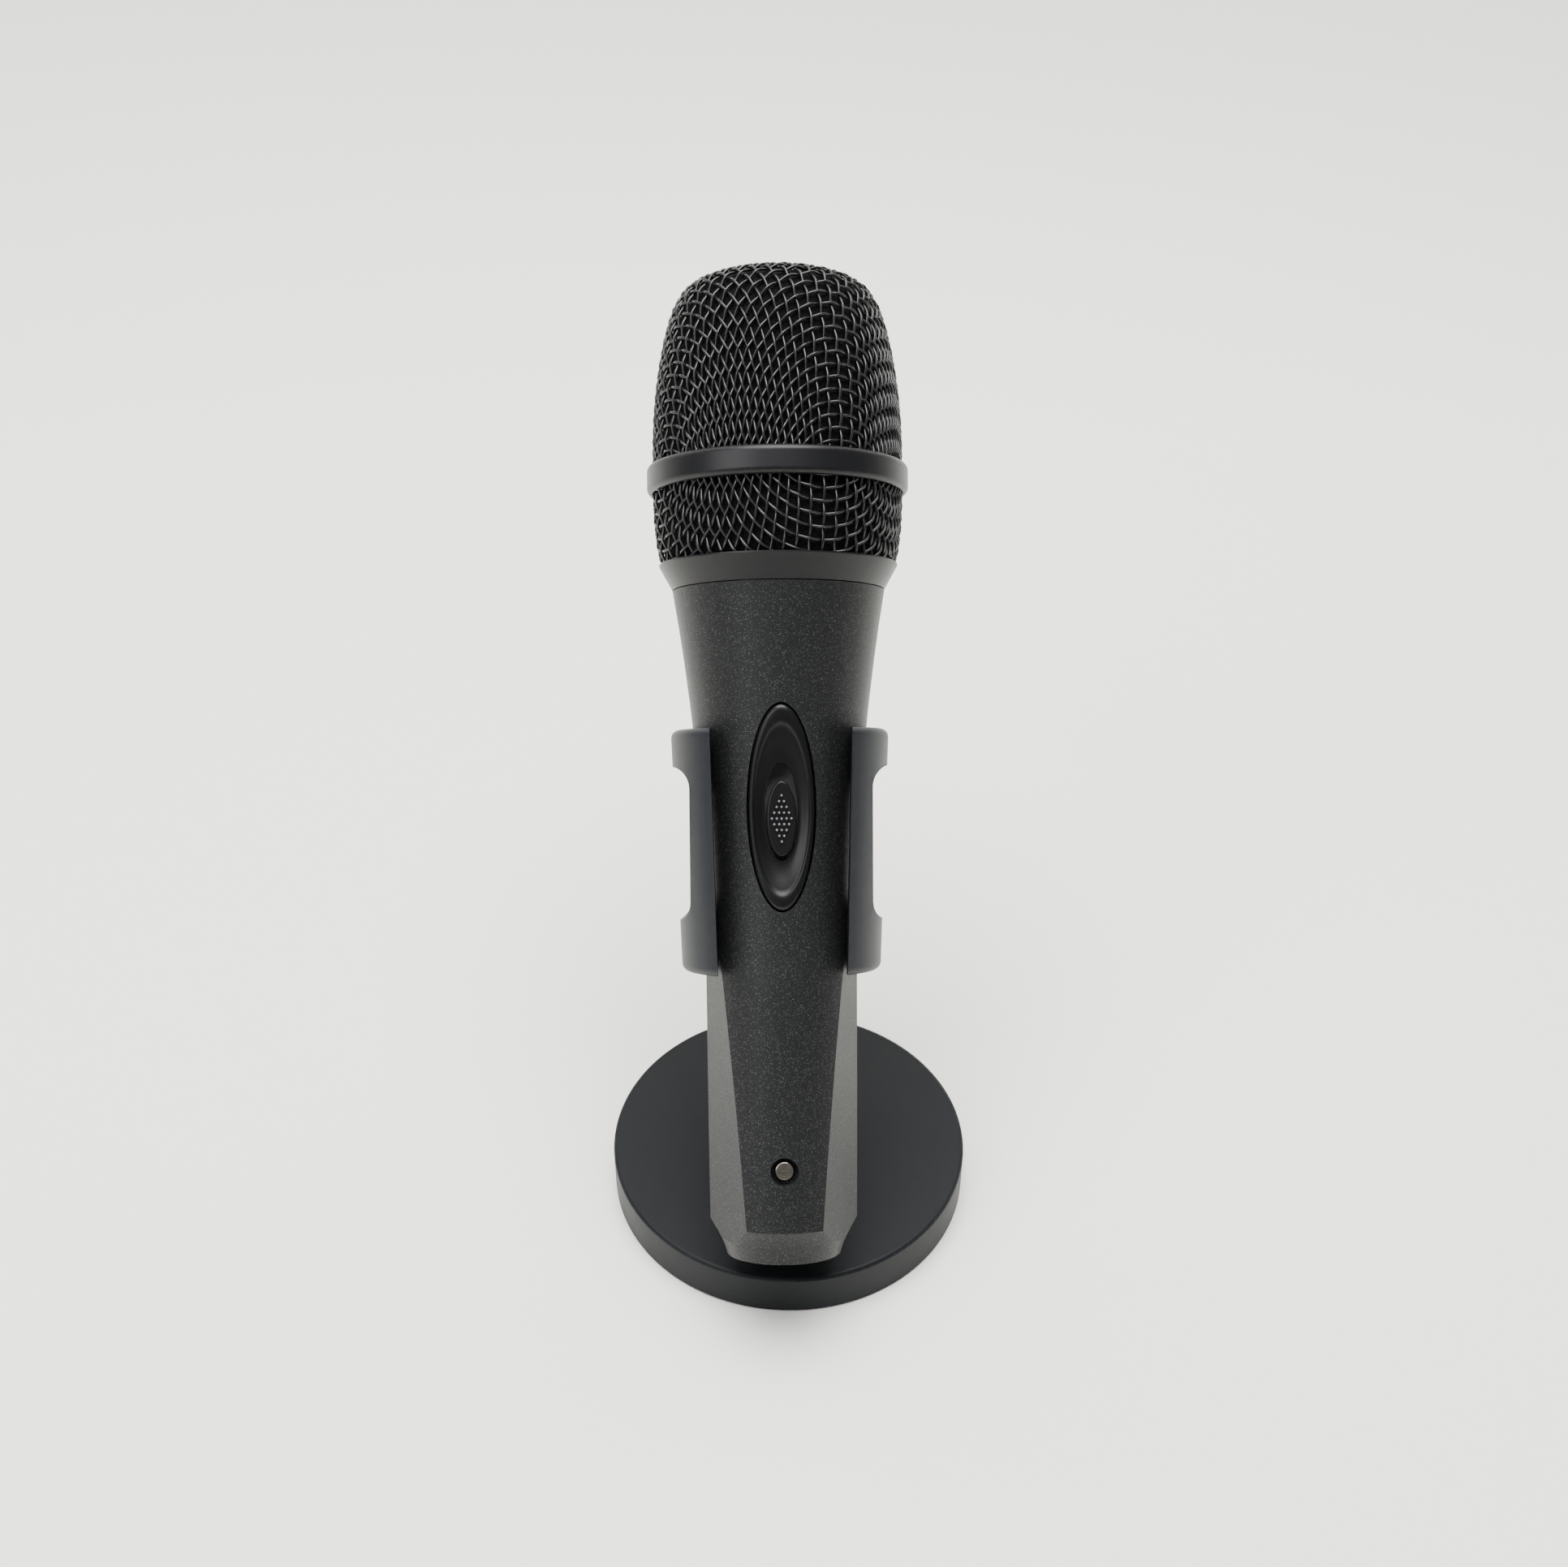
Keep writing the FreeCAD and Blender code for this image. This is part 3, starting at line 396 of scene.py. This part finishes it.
# %% [markdown]
# ## The shape of the head
# The wire dome is a surface of revolution. We describe its side line once, as radius against
# station, and measure the distance walked along it from the pole. Two coordinates in that unrolled
# disc, p and q, then name any point of the dome, and nothing special happens at the pole.

# %% Head outline
WIRE_R = 0.27
WIRE_CRIMP = 0.29
WIRE_PITCH = 2.45
HEAD_R = 24.95
SPAN_STEPS = 40
UPPER_LINE = ((0.0, 194.8), (6.0, 194.5), (12.6, 193.5), (17.8, 191.3), (20.41, 187.8), (21.83, 183.9),
              (22.94, 179.3), (23.93, 173.5), (24.57, 167.6), (24.88, 161.8), (HEAD_R, 153.2),
              (HEAD_R, 140.0))
LOWER_LINE = ((0.0, 127.0), (6.1, 127.1), (12.6, 127.6), (18.0, 129.6), (21.5, 132.4), (23.1, 135.2),
              (23.75, 137.5), (24.35, 141.0), (24.8, 146.0), (HEAD_R, 153.2), (HEAD_R, 168.0))


def smooth_line(points, count=400):
    """Resampled Catmull-Rom line through the points, as radius, station and distance walked."""
    rows = np.array([(-points[1][0], points[1][1])] + list(points) + [points[-1]])
    out = []
    for a, b, c, d in zip(rows, rows[1:], rows[2:], rows[3:]):
        for t in np.linspace(0, 1, SPAN_STEPS, endpoint=False):
            out.append(0.5 * (2 * b + (c - a) * t + (2 * a - 5 * b + 4 * c - d) * t ** 2
                              + (3 * b - a - 3 * c + d) * t ** 3))
    line = np.array(out + [rows[-1]])
    walked = np.concatenate([[0], np.cumsum(np.hypot(*np.diff(line, axis=0).T))])
    even = np.linspace(0, walked[-1], count)
    return np.interp(even, walked, line[:, 0]), np.interp(even, walked, line[:, 1]), even


class Dome:
    """A turned surface named by the disc coordinates p and q, moved in by inset."""

    def __init__(self, outline, inset, turn):
        self.radius, self.station, self.walked = smooth_line(outline)
        slope_r = np.gradient(self.radius, self.walked)
        slope_s = np.gradient(self.station, self.walked)
        side = 1 if outline[0][1] > outline[-1][1] else -1
        self.normal_r = -slope_s * side
        self.normal_s = slope_r * side
        self.radius = self.radius - self.normal_r * inset
        self.station = self.station - self.normal_s * inset
        self.turn = turn

    def at(self, spots, lift=0.0):
        """Points of the dome, raised by lift, for rows of p and q."""
        spots = np.asarray(spots, float)
        away = np.hypot(spots[..., 0], spots[..., 1])
        radius, station, normal_r, normal_s = (
            np.interp(away, self.walked, line)
            for line in (self.radius, self.station, self.normal_r, self.normal_s))
        radius = radius + lift * normal_r
        station = station + lift * normal_s
        azimuth = np.arctan2(spots[..., 0], spots[..., 1]) + self.turn
        return np.stack((radius * np.sin(azimuth), -radius * np.cos(azimuth), station), axis=-1)


print("head", 2 * HEAD_R, "mm across, its top", UPPER_LINE[0][1], "mm up from the socket end")

# %% [markdown]
# ## Weaving the wire
# The head starts as a flat square weave and is pressed into a cup. Wire can hardly stretch, so far
# from the pole the squares shear into slim diamonds, which gives the herringbone look between the
# four directions where the weave stays square. We name a crossing by its two wire numbers, i and
# j. Near the pole it lies where the flat weave has it. Lower down, all crossings with the same
# i + j share a ring, a little wider apart next to the four square columns. EASE_FROM and EASE_TO
# say between which distances from the pole one rule hands over to the other.

# %% Woven net
EASE_FROM = 8.0
EASE_TO = 45.0
COLUMN_EXTRA = 0.55
COLUMN_WIDE = 2.0
LEAST_SQUARE = 0.1
LEAST_DROP = 0.1


def eased(value, low, high):
    share = min(max((value - low) / (high - low), 0.0), 1.0)
    return share * share * (3 - 2 * share)


def diagonal_walk(dome, pitch, reach):
    """Distance from the pole of each ring i + j = n, where the diamonds are slimmest."""
    walk = [0.0]
    while walk[-1] < reach:
        radius = float(np.interp(walk[-1], dome.walked, dome.radius))
        share = eased(walk[-1], EASE_FROM, EASE_TO)
        across = (1 - share) * math.sqrt(2) * pitch + share * math.pi / 2 * radius / len(walk)
        walk.append(walk[-1] + math.sqrt(max(pitch ** 2 - (across / 2) ** 2, LEAST_SQUARE)))
    return walk


def weave_net(dome, pitch, reach):
    """The p and q of every crossing, by wire numbers: one quarter and its reflections."""
    walk = diagonal_walk(dome, pitch, reach)
    net = {(0, 0): (0.0, 0.0)}
    for ring in range(1, len(walk)):
        gaps = [1 + COLUMN_EXTRA * math.exp(-(min(k + 0.5, ring - k - 0.5) / COLUMN_WIDE) ** 2)
                for k in range(ring)]
        turns = np.concatenate([[0], np.cumsum(gaps)]) / sum(gaps) * math.pi / 2
        drop = max(pitch * ring - walk[ring], LEAST_DROP)
        share = eased(walk[ring], EASE_FROM, EASE_TO)
        for i in range(ring + 1):
            j = ring - i
            flat = (math.hypot(i, j) / ring - math.sqrt(0.5)) / (1 - math.sqrt(0.5))
            column = math.exp(-min(i, j) * pitch / drop)
            away = walk[ring] + drop * ((1 - share) * flat + share * column)
            if away < reach:
                turn = (1 - share) * math.atan2(i, j) + share * turns[i]
                net[i, j] = (away * math.sin(turn), away * math.cos(turn))
    return {(i * a, j * b): (p * a, q * b)
            for (i, j), (p, q) in net.items() for a in (1, -1) for b in (1, -1)}


def wire_runs(net, dome, low, high, along):
    """Each wire of one direction, between two stations, as crimped points, over and under in turn."""
    size = max(max(key) for key in net)
    runs = []
    for fixed in range(-size, size + 1):
        run = []
        for moving in range(-size, size + 1):
            key = (fixed, moving) if along else (moving, fixed)
            point = None
            if key in net:
                over = 1 if (sum(key) % 2 == 0) == along else -1
                point = dome.at(net[key], over * WIRE_CRIMP)
            if point is not None and low < point[2] < high:
                run.append(point)
            elif run:
                runs.append(run)
                run = []
        if run:
            runs.append(run)
    return [run for run in runs if len(run) > 1]


print("the weave is square up to", EASE_FROM, "mm from the pole and diamonds from", EASE_TO, "mm on")

# %% [markdown]
# ## From lines to round wire
# Geometry Nodes turn the woven lines into round wire. The tree makes each chain of edges a smooth
# Catmull-Rom curve, sweeps a small circle along it and sets the material, with the wire's radius
# and its smoothness as named inputs. Two helpers start and link such a tree, and one runs it.


# %% Geometry tree helpers
def new_tree(name, inputs):
    """A geometry tree with a mesh and a material going in besides its own named inputs."""
    tree = bpy.data.node_groups.new(name, "GeometryNodeTree")
    given = (("Geometry", "NodeSocketGeometry"), *inputs, ("Material", "NodeSocketMaterial"))
    for title, kind in given:
        tree.interface.new_socket(name=title, in_out="INPUT", socket_type=kind)
    tree.interface.new_socket(name="Geometry", in_out="OUTPUT", socket_type="NodeSocketGeometry")
    return tree, tree.nodes.new("NodeGroupInput").outputs


def end_tree(tree, given, shaped):
    """Realizes the shape, gives it the material and sends it out."""
    realize = tree.nodes.new("GeometryNodeRealizeInstances")
    paint = tree.nodes.new("GeometryNodeSetMaterial")
    result = tree.nodes.new("NodeGroupOutput")
    link_all(tree, (shaped, realize.inputs[0]), (realize.outputs[0], paint.inputs["Geometry"]),
             (given["Material"], paint.inputs["Material"]), (paint.outputs[0], result.inputs[0]))


def link_all(tree, *pairs):
    for source, target in pairs:
        tree.links.new(source, target)


def apply_tree(piece, tree, **values):
    """Runs the tree on the piece and keeps the result as a plain mesh."""
    modifier = piece.modifiers.new(tree.name, "NODES")
    modifier.node_group = tree
    sockets = {item.name: item.identifier for item in tree.interface.items_tree
               if item.item_type == "SOCKET" and item.in_out == "INPUT"}
    for name, value in values.items():
        modifier[sockets[name.replace("_", " ")]] = value
    depsgraph = bpy.context.evaluated_depsgraph_get()
    mesh = bpy.data.meshes.new_from_object(piece.evaluated_get(depsgraph))
    piece.modifiers.remove(modifier)
    piece.data = mesh
    mesh.name = piece.name


# %% Wire tree
def wire_tree():
    tree, given = new_tree("round_wire", (("Wire Radius", "NodeSocketFloat"), ("Sides", "NodeSocketInt"),
                                          ("Steps", "NodeSocketInt")))
    to_curve = tree.nodes.new("GeometryNodeMeshToCurve")
    smooth = tree.nodes.new("GeometryNodeCurveSplineType")
    smooth.spline_type = "CATMULL_ROM"
    steps = tree.nodes.new("GeometryNodeSetSplineResolution")
    circle = tree.nodes.new("GeometryNodeCurvePrimitiveCircle")
    sweep = tree.nodes.new("GeometryNodeCurveToMesh")
    sweep.inputs["Fill Caps"].default_value = True
    link_all(tree, (given["Geometry"], to_curve.inputs["Mesh"]),
             (to_curve.outputs[0], smooth.inputs["Curve"]), (smooth.outputs[0], steps.inputs[0]),
             (given["Steps"], steps.inputs["Resolution"]), (steps.outputs[0], sweep.inputs["Curve"]),
             (given["Sides"], circle.inputs["Resolution"]), (given["Wire Radius"], circle.inputs["Radius"]),
             (circle.outputs["Curve"], sweep.inputs["Profile Curve"]))
    end_tree(tree, given, sweep.outputs[0])
    return tree


ROUND_WIRE = wire_tree()
WIRE_SIDES = 6
WIRE_STEPS = 4


def wire_piece(name, runs, replaced):
    points, edges = [], []
    for run in runs:
        start = len(points)
        points += [mic_place @ Vector(point) for point in run]
        edges += [(start + i, start + i + 1) for i in range(len(run) - 1)]
    piece = new_piece(name, points, [], edges)
    apply_tree(piece, ROUND_WIRE, Wire_Radius=WIRE_R * MM, Sides=WIRE_SIDES, Steps=WIRE_STEPS,
               Material=FINISHES["grille_wire"])
    smooth_faces(piece)
    finish_piece(piece, "head", FINISHES["grille_wire"])
    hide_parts(replaced)


# %% [markdown]
# ## The two cups
# The real head is two pressed cups of the same cloth that meet under the ring round the head, each
# turned its own way. So one function weaves both, and only the outline, the turn and the stations
# between which the wire is kept differ. Each cup is two pieces, one for each direction of its wires.

# %% Weave the upper and lower cups
UPPER_TURN = math.radians(28.5)
LOWER_TURN = math.radians(20.0)
UPPER_REACH = 66.0
LOWER_REACH = 52.0
COLLAR_TOP = 136.5
IN_COLLAR = 1.5
IN_RING = 0.5

upper_dome = Dome(UPPER_LINE, WIRE_R + WIRE_CRIMP, UPPER_TURN)
lower_dome = Dome(LOWER_LINE, WIRE_R + WIRE_CRIMP, LOWER_TURN)
upper_net = weave_net(upper_dome, WIRE_PITCH, UPPER_REACH)
lower_net = weave_net(lower_dome, WIRE_PITCH, LOWER_REACH)
print("crossings:", len(upper_net), len(lower_net))

for along, word in ((True, "warp"), (False, "weft")):
    upper_runs = wire_runs(upper_net, upper_dome, RING_STATION - IN_RING, math.inf, along)
    lower_runs = wire_runs(lower_net, lower_dome, COLLAR_TOP - IN_COLLAR, RING_STATION, along)
    wire_piece("wire_dome_" + word, upper_runs, "grille_upper")
    wire_piece("wire_cup_" + word, lower_runs, "grille_lower")

# %% [markdown]
# ## Foam behind the wire
# A thin windscreen of open-cell foam lines the head, so that between the wires there is soft black
# and no view of the capsule. It is a closed shell that follows the two cups, turned from one side
# line, because foam that is pressed into a cup takes the cup's shape. Its pores come from noise.


# %% Foam
FOAM_INSET = 1.35
FOAM_SKIN = 3.0
FOAM_SIDES = 96
OUTSIDE_RINGS = (46, 10)
INSIDE_RINGS = (30, 6)
FOAM_ABOVE_COLLAR = 0.3
AXIS_R = 1e-6


def foam_points(outline, inset, low, high, rings):
    """Radius and station of evenly picked rings, on the outline moved in by inset."""
    dome = Dome(outline, inset, 0.0)
    picked = [(max(r, 0.0), s) for r, s in zip(dome.radius, dome.station) if low <= s <= high]
    places = np.linspace(0, len(picked) - 1, rings).round().astype(int)
    return [picked[i] for i in places]


def top_points(inset, rings):
    """The upper cup's rings, down from a point on the axis."""
    rows = foam_points(UPPER_LINE, inset, RING_STATION, math.inf, rings)
    return [(0.0, rows[0][1])] + rows[1:]


def turned_mesh(name, outline, sides):
    """Closed turned surface from a line of radius and station that starts and ends on the axis."""
    points, rows, faces = [], [], []
    for radius, station in outline:
        turns = [0.0] if radius < AXIS_R else [2 * math.pi * i / sides for i in range(sides)]
        rows.append(range(len(points), len(points) + len(turns)))
        points += [mic_place @ Vector((radius * math.sin(turn), -radius * math.cos(turn), station))
                   for turn in turns]
    for low, high in zip(rows, rows[1:]):
        for i in range(sides):
            corners = (low[i % len(low)], low[(i + 1) % len(low)],
                       high[(i + 1) % len(high)], high[i % len(high)])
            unique = list(dict.fromkeys(corners))
            if len(unique) > 2:
                faces.append(unique)
    piece = new_piece(name, points, faces)
    outward(piece)
    smooth_faces(piece, 40)
    return piece


foam_low = COLLAR_TOP + FOAM_ABOVE_COLLAR
skirt_high = RING_STATION - IN_RING


def foam_side(inset, rings):
    """One side of the foam, from the pole down to the collar."""
    skirt = foam_points(LOWER_LINE, inset, foam_low, skirt_high, rings[1])
    return top_points(inset, rings[0]) + skirt[::-1]


outside = foam_side(FOAM_INSET, OUTSIDE_RINGS)
inside = foam_side(FOAM_INSET + FOAM_SKIN, INSIDE_RINGS)
foam = turned_mesh("foam_lining", outside + inside[::-1], FOAM_SIDES)
finish_piece(foam, "head", FINISHES["foam"])
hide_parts("foam_windscreen")

# %% [markdown]
# ## The switch plate
# The oval plate round the switch is one soft surface: a rounded edge, a shallow dish that deepens
# to the slot, and the slot's wall. We build it as rings of points that morph from the outer oval to
# the slot's oval. Every ring has the same number of points, so neighbouring rings join into quads,
# and the last ring joins the first to close the body.

# %% Handle outline
SWITCH_STATION = 88.3
SLOT_STATION = 87.5
PLATE_BACK = -11.6
HANDLE_LINE = ((54.0, 15.1), (77.0, 15.75), (100.0, 16.9), (115.0, 18.7), (131.2, 21.1))


def handle_radius(station):
    stations, radii = zip(*HANDLE_LINE)
    fit = np.polyfit(stations, radii, 2)
    return float(np.polyval(fit, station))


def front_at(x, station, sink):
    """Point on the handle's front, sunk towards the axis."""
    return (x, -math.sqrt(handle_radius(station) ** 2 - x * x) + sink, station)


print("handle radius at the switch:", round(handle_radius(SWITCH_STATION), 2), "mm")

# %% Switch plate
PLATE_SIDES = 128
PLATE_HALF = (6.45, 19.8)
SLOT_HALF = (3.2, 9.4)
PLATE_EDGE = ((0.0, 0.55), (0.03, 0.16), (0.07, -0.06), (0.12, -0.14), (0.24, -0.16), (0.30, -0.08),
              (0.34, 0.12))
DISH_DEPTH = 1.35
DISH_STEPS = 14
DISH_LEAD = 0.15
WALL_SINK = 0.25


def plate_ring(share, sink=None, flat=None):
    """One ring between the outer oval (share 0) and the slot (share 1), on the dish or at one depth."""
    half_x, half_s = (a + (b - a) * share for a, b in zip(PLATE_HALF, SLOT_HALF))
    middle = SWITCH_STATION + (SLOT_STATION - SWITCH_STATION) * share
    ring = []
    for k in range(PLATE_SIDES):
        turn = 2 * math.pi * k / PLATE_SIDES
        x, station = half_x * math.sin(turn), middle + half_s * math.cos(turn)
        ring.append((x, flat, station) if flat is not None else front_at(x, station, sink))
    return ring


def make_switch_plate():
    rings = [plate_ring(0.0, flat=PLATE_BACK)] + [plate_ring(share, sink) for share, sink in PLATE_EDGE]
    start = PLATE_EDGE[-1][0]
    for step in range(1, DISH_STEPS + 1):
        share = start + (1 - start) * step / DISH_STEPS
        deep = eased(share, start - DISH_LEAD, 1.0)
        rings.append(plate_ring(share, PLATE_EDGE[-1][1] + DISH_DEPTH * deep))
    rings.append(plate_ring(1.0, DISH_DEPTH + WALL_SINK))
    rings.append(plate_ring(1.0, flat=PLATE_BACK))
    points = [mic_place @ Vector(point) for ring in rings for point in ring]
    faces = []
    for low in range(len(rings)):
        high = (low + 1) % len(rings)
        for k in range(PLATE_SIDES):
            beside = (k + 1) % PLATE_SIDES
            faces.append((low * PLATE_SIDES + k, high * PLATE_SIDES + k, high * PLATE_SIDES + beside,
                          low * PLATE_SIDES + beside))
    plate = new_piece("switch_plate", points, faces)
    outward(plate)
    smooth_faces(plate, 50)
    return plate


switch_plate = make_switch_plate()
finish_piece(switch_plate, "microphone", FINISHES["switch_plastic"])
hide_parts("switch_bezel")

# %% [markdown]
# ## Grip dots on the slider
# The slider's face carries a diamond of tiny round studs, which the thumb feels. Each stud is the
# same, so a Geometry Nodes tree puts one small sphere on every point of a little point mesh, and the
# result becomes a plain mesh that rides on the slider. The studs are coloured a lighter grey than the
# slider's black plastic, as a painted highlight on each stud.

# %% Grip dots
KNOB_STATION = 86.2
STUD_ROWS = (1, 2, 3, 4, 5, 4, 3, 2, 1)
STUD_PITCH = (0.935, 1.1)
STUD_R = 0.26
STUD_SINK = 0.12
KNOB_SINK = 0.45


def stud_tree():
    tree, given = new_tree("studs", (("Stud Radius", "NodeSocketFloat"),))
    to_points = tree.nodes.new("GeometryNodeMeshToPoints")
    painted_highlight_stud = tree.nodes.new("GeometryNodeMeshIcoSphere")
    painted_highlight_stud.inputs["Subdivisions"].default_value = 2
    spread = tree.nodes.new("GeometryNodeInstanceOnPoints")
    link_all(tree, (given["Geometry"], to_points.inputs[0]), (to_points.outputs[0], spread.inputs["Points"]),
             (given["Stud Radius"], painted_highlight_stud.inputs["Radius"]), (painted_highlight_stud.outputs["Mesh"], spread.inputs["Instance"]))
    end_tree(tree, given, spread.outputs[0])
    return tree


knob_face = -handle_radius(SWITCH_STATION) + KNOB_SINK
spots = []
for row, count in enumerate(STUD_ROWS):
    station = KNOB_STATION + (row - (len(STUD_ROWS) - 1) / 2) * STUD_PITCH[1]
    for place in range(count):
        x = (place - (count - 1) / 2) * STUD_PITCH[0]
        spots.append(mic_place @ Vector((x, knob_face - STUD_SINK, station)))
# Painted highlight: the studs get a light grey, far lighter than the black slider plastic, so that they read as
# lit tips.
FINISHES["painted_highlight_stud"] = grained("painted_highlight_stud", (0.09, 0.09, 0.095), (0.12, 0.12, 0.125), 0.25, specular=0.8)
studs = new_piece("grip_studs", spots, [])
apply_tree(studs, stud_tree(), Stud_Radius=STUD_R * MM, Material=FINISHES["painted_highlight_stud"])
smooth_faces(studs)
finish_piece(studs, "slider", FINISHES["painted_highlight_stud"])

# %% [markdown]
# ## Table and backdrop
# A pale sweep of paper curves up behind the object, so the floor goes over into the wall with no hard
# line. A side line with a quarter bend, drawn out sideways, is all it needs.

# %% Sweep
SWEEP_BACK = 0.36
SWEEP_BEND = 0.16
SWEEP_HEIGHT = 1.6
SWEEP_WIDE = 3.0
SWEEP_FRONT = -2.0
BEND_STEPS = 16


def make_sweep():
    side_line = [(SWEEP_FRONT, 0.0), (SWEEP_BACK, 0.0)]
    for step in range(1, BEND_STEPS + 1):
        turn = math.pi / 2 * step / BEND_STEPS
        side_line.append((SWEEP_BACK + SWEEP_BEND * math.sin(turn), SWEEP_BEND * (1 - math.cos(turn))))
    side_line.append((SWEEP_BACK + SWEEP_BEND, SWEEP_HEIGHT))
    points = [(x, y, z) for y, z in side_line for x in (-SWEEP_WIDE, SWEEP_WIDE)]
    faces = [(2 * i, 2 * i + 1, 2 * i + 3, 2 * i + 2) for i in range(len(side_line) - 1)]
    sweep = new_piece("sweep", points, faces)
    smooth_faces(sweep)
    return sweep


sweep = make_sweep()
paper = grained("paper", (0.86, 0.855, 0.81), (0.88, 0.875, 0.83), 0.6, blotch=2.0, bump=0.02,
                specular=0.3)
sweep.data.materials.append(paper)
print("sweep bends up", SWEEP_BACK, "m behind the stand")

# %% [markdown]
# ## Lights
# Dark paint and black wire show mostly what they reflect. A large soft disc overhead wraps round
# them and draws long highlights, a smaller one from the left front opens the shadows, and the plain
# grey world fills in what is left.


# %% Lights
def area_light(name, place, target, wide, power):
    data = bpy.data.lights.new(name, "AREA")
    data.shape = "DISK"
    data.size = wide
    data.energy = power
    light = bpy.data.objects.new(name, data)
    light.location = place
    light.rotation_euler = (Vector(target) - Vector(place)).to_track_quat("-Z", "Y").to_euler()
    bpy.context.collection.objects.link(light)


area_light("ceiling", (0.0, 0.05, 1.5), (0, 0.1, 0), 1.3, 62.0)
area_light("window", (-0.9, -0.7, 1.0), (0, 0, 0.1), 0.9, 11.0)
world = bpy.data.worlds.new("room")
world.use_nodes = True
background = world.node_tree.nodes["Background"]
background.inputs["Color"].default_value = (0.95, 0.97, 1.0, 1.0)
background.inputs["Strength"].default_value = 0.30
bpy.context.scene.world = world
print("lights set")
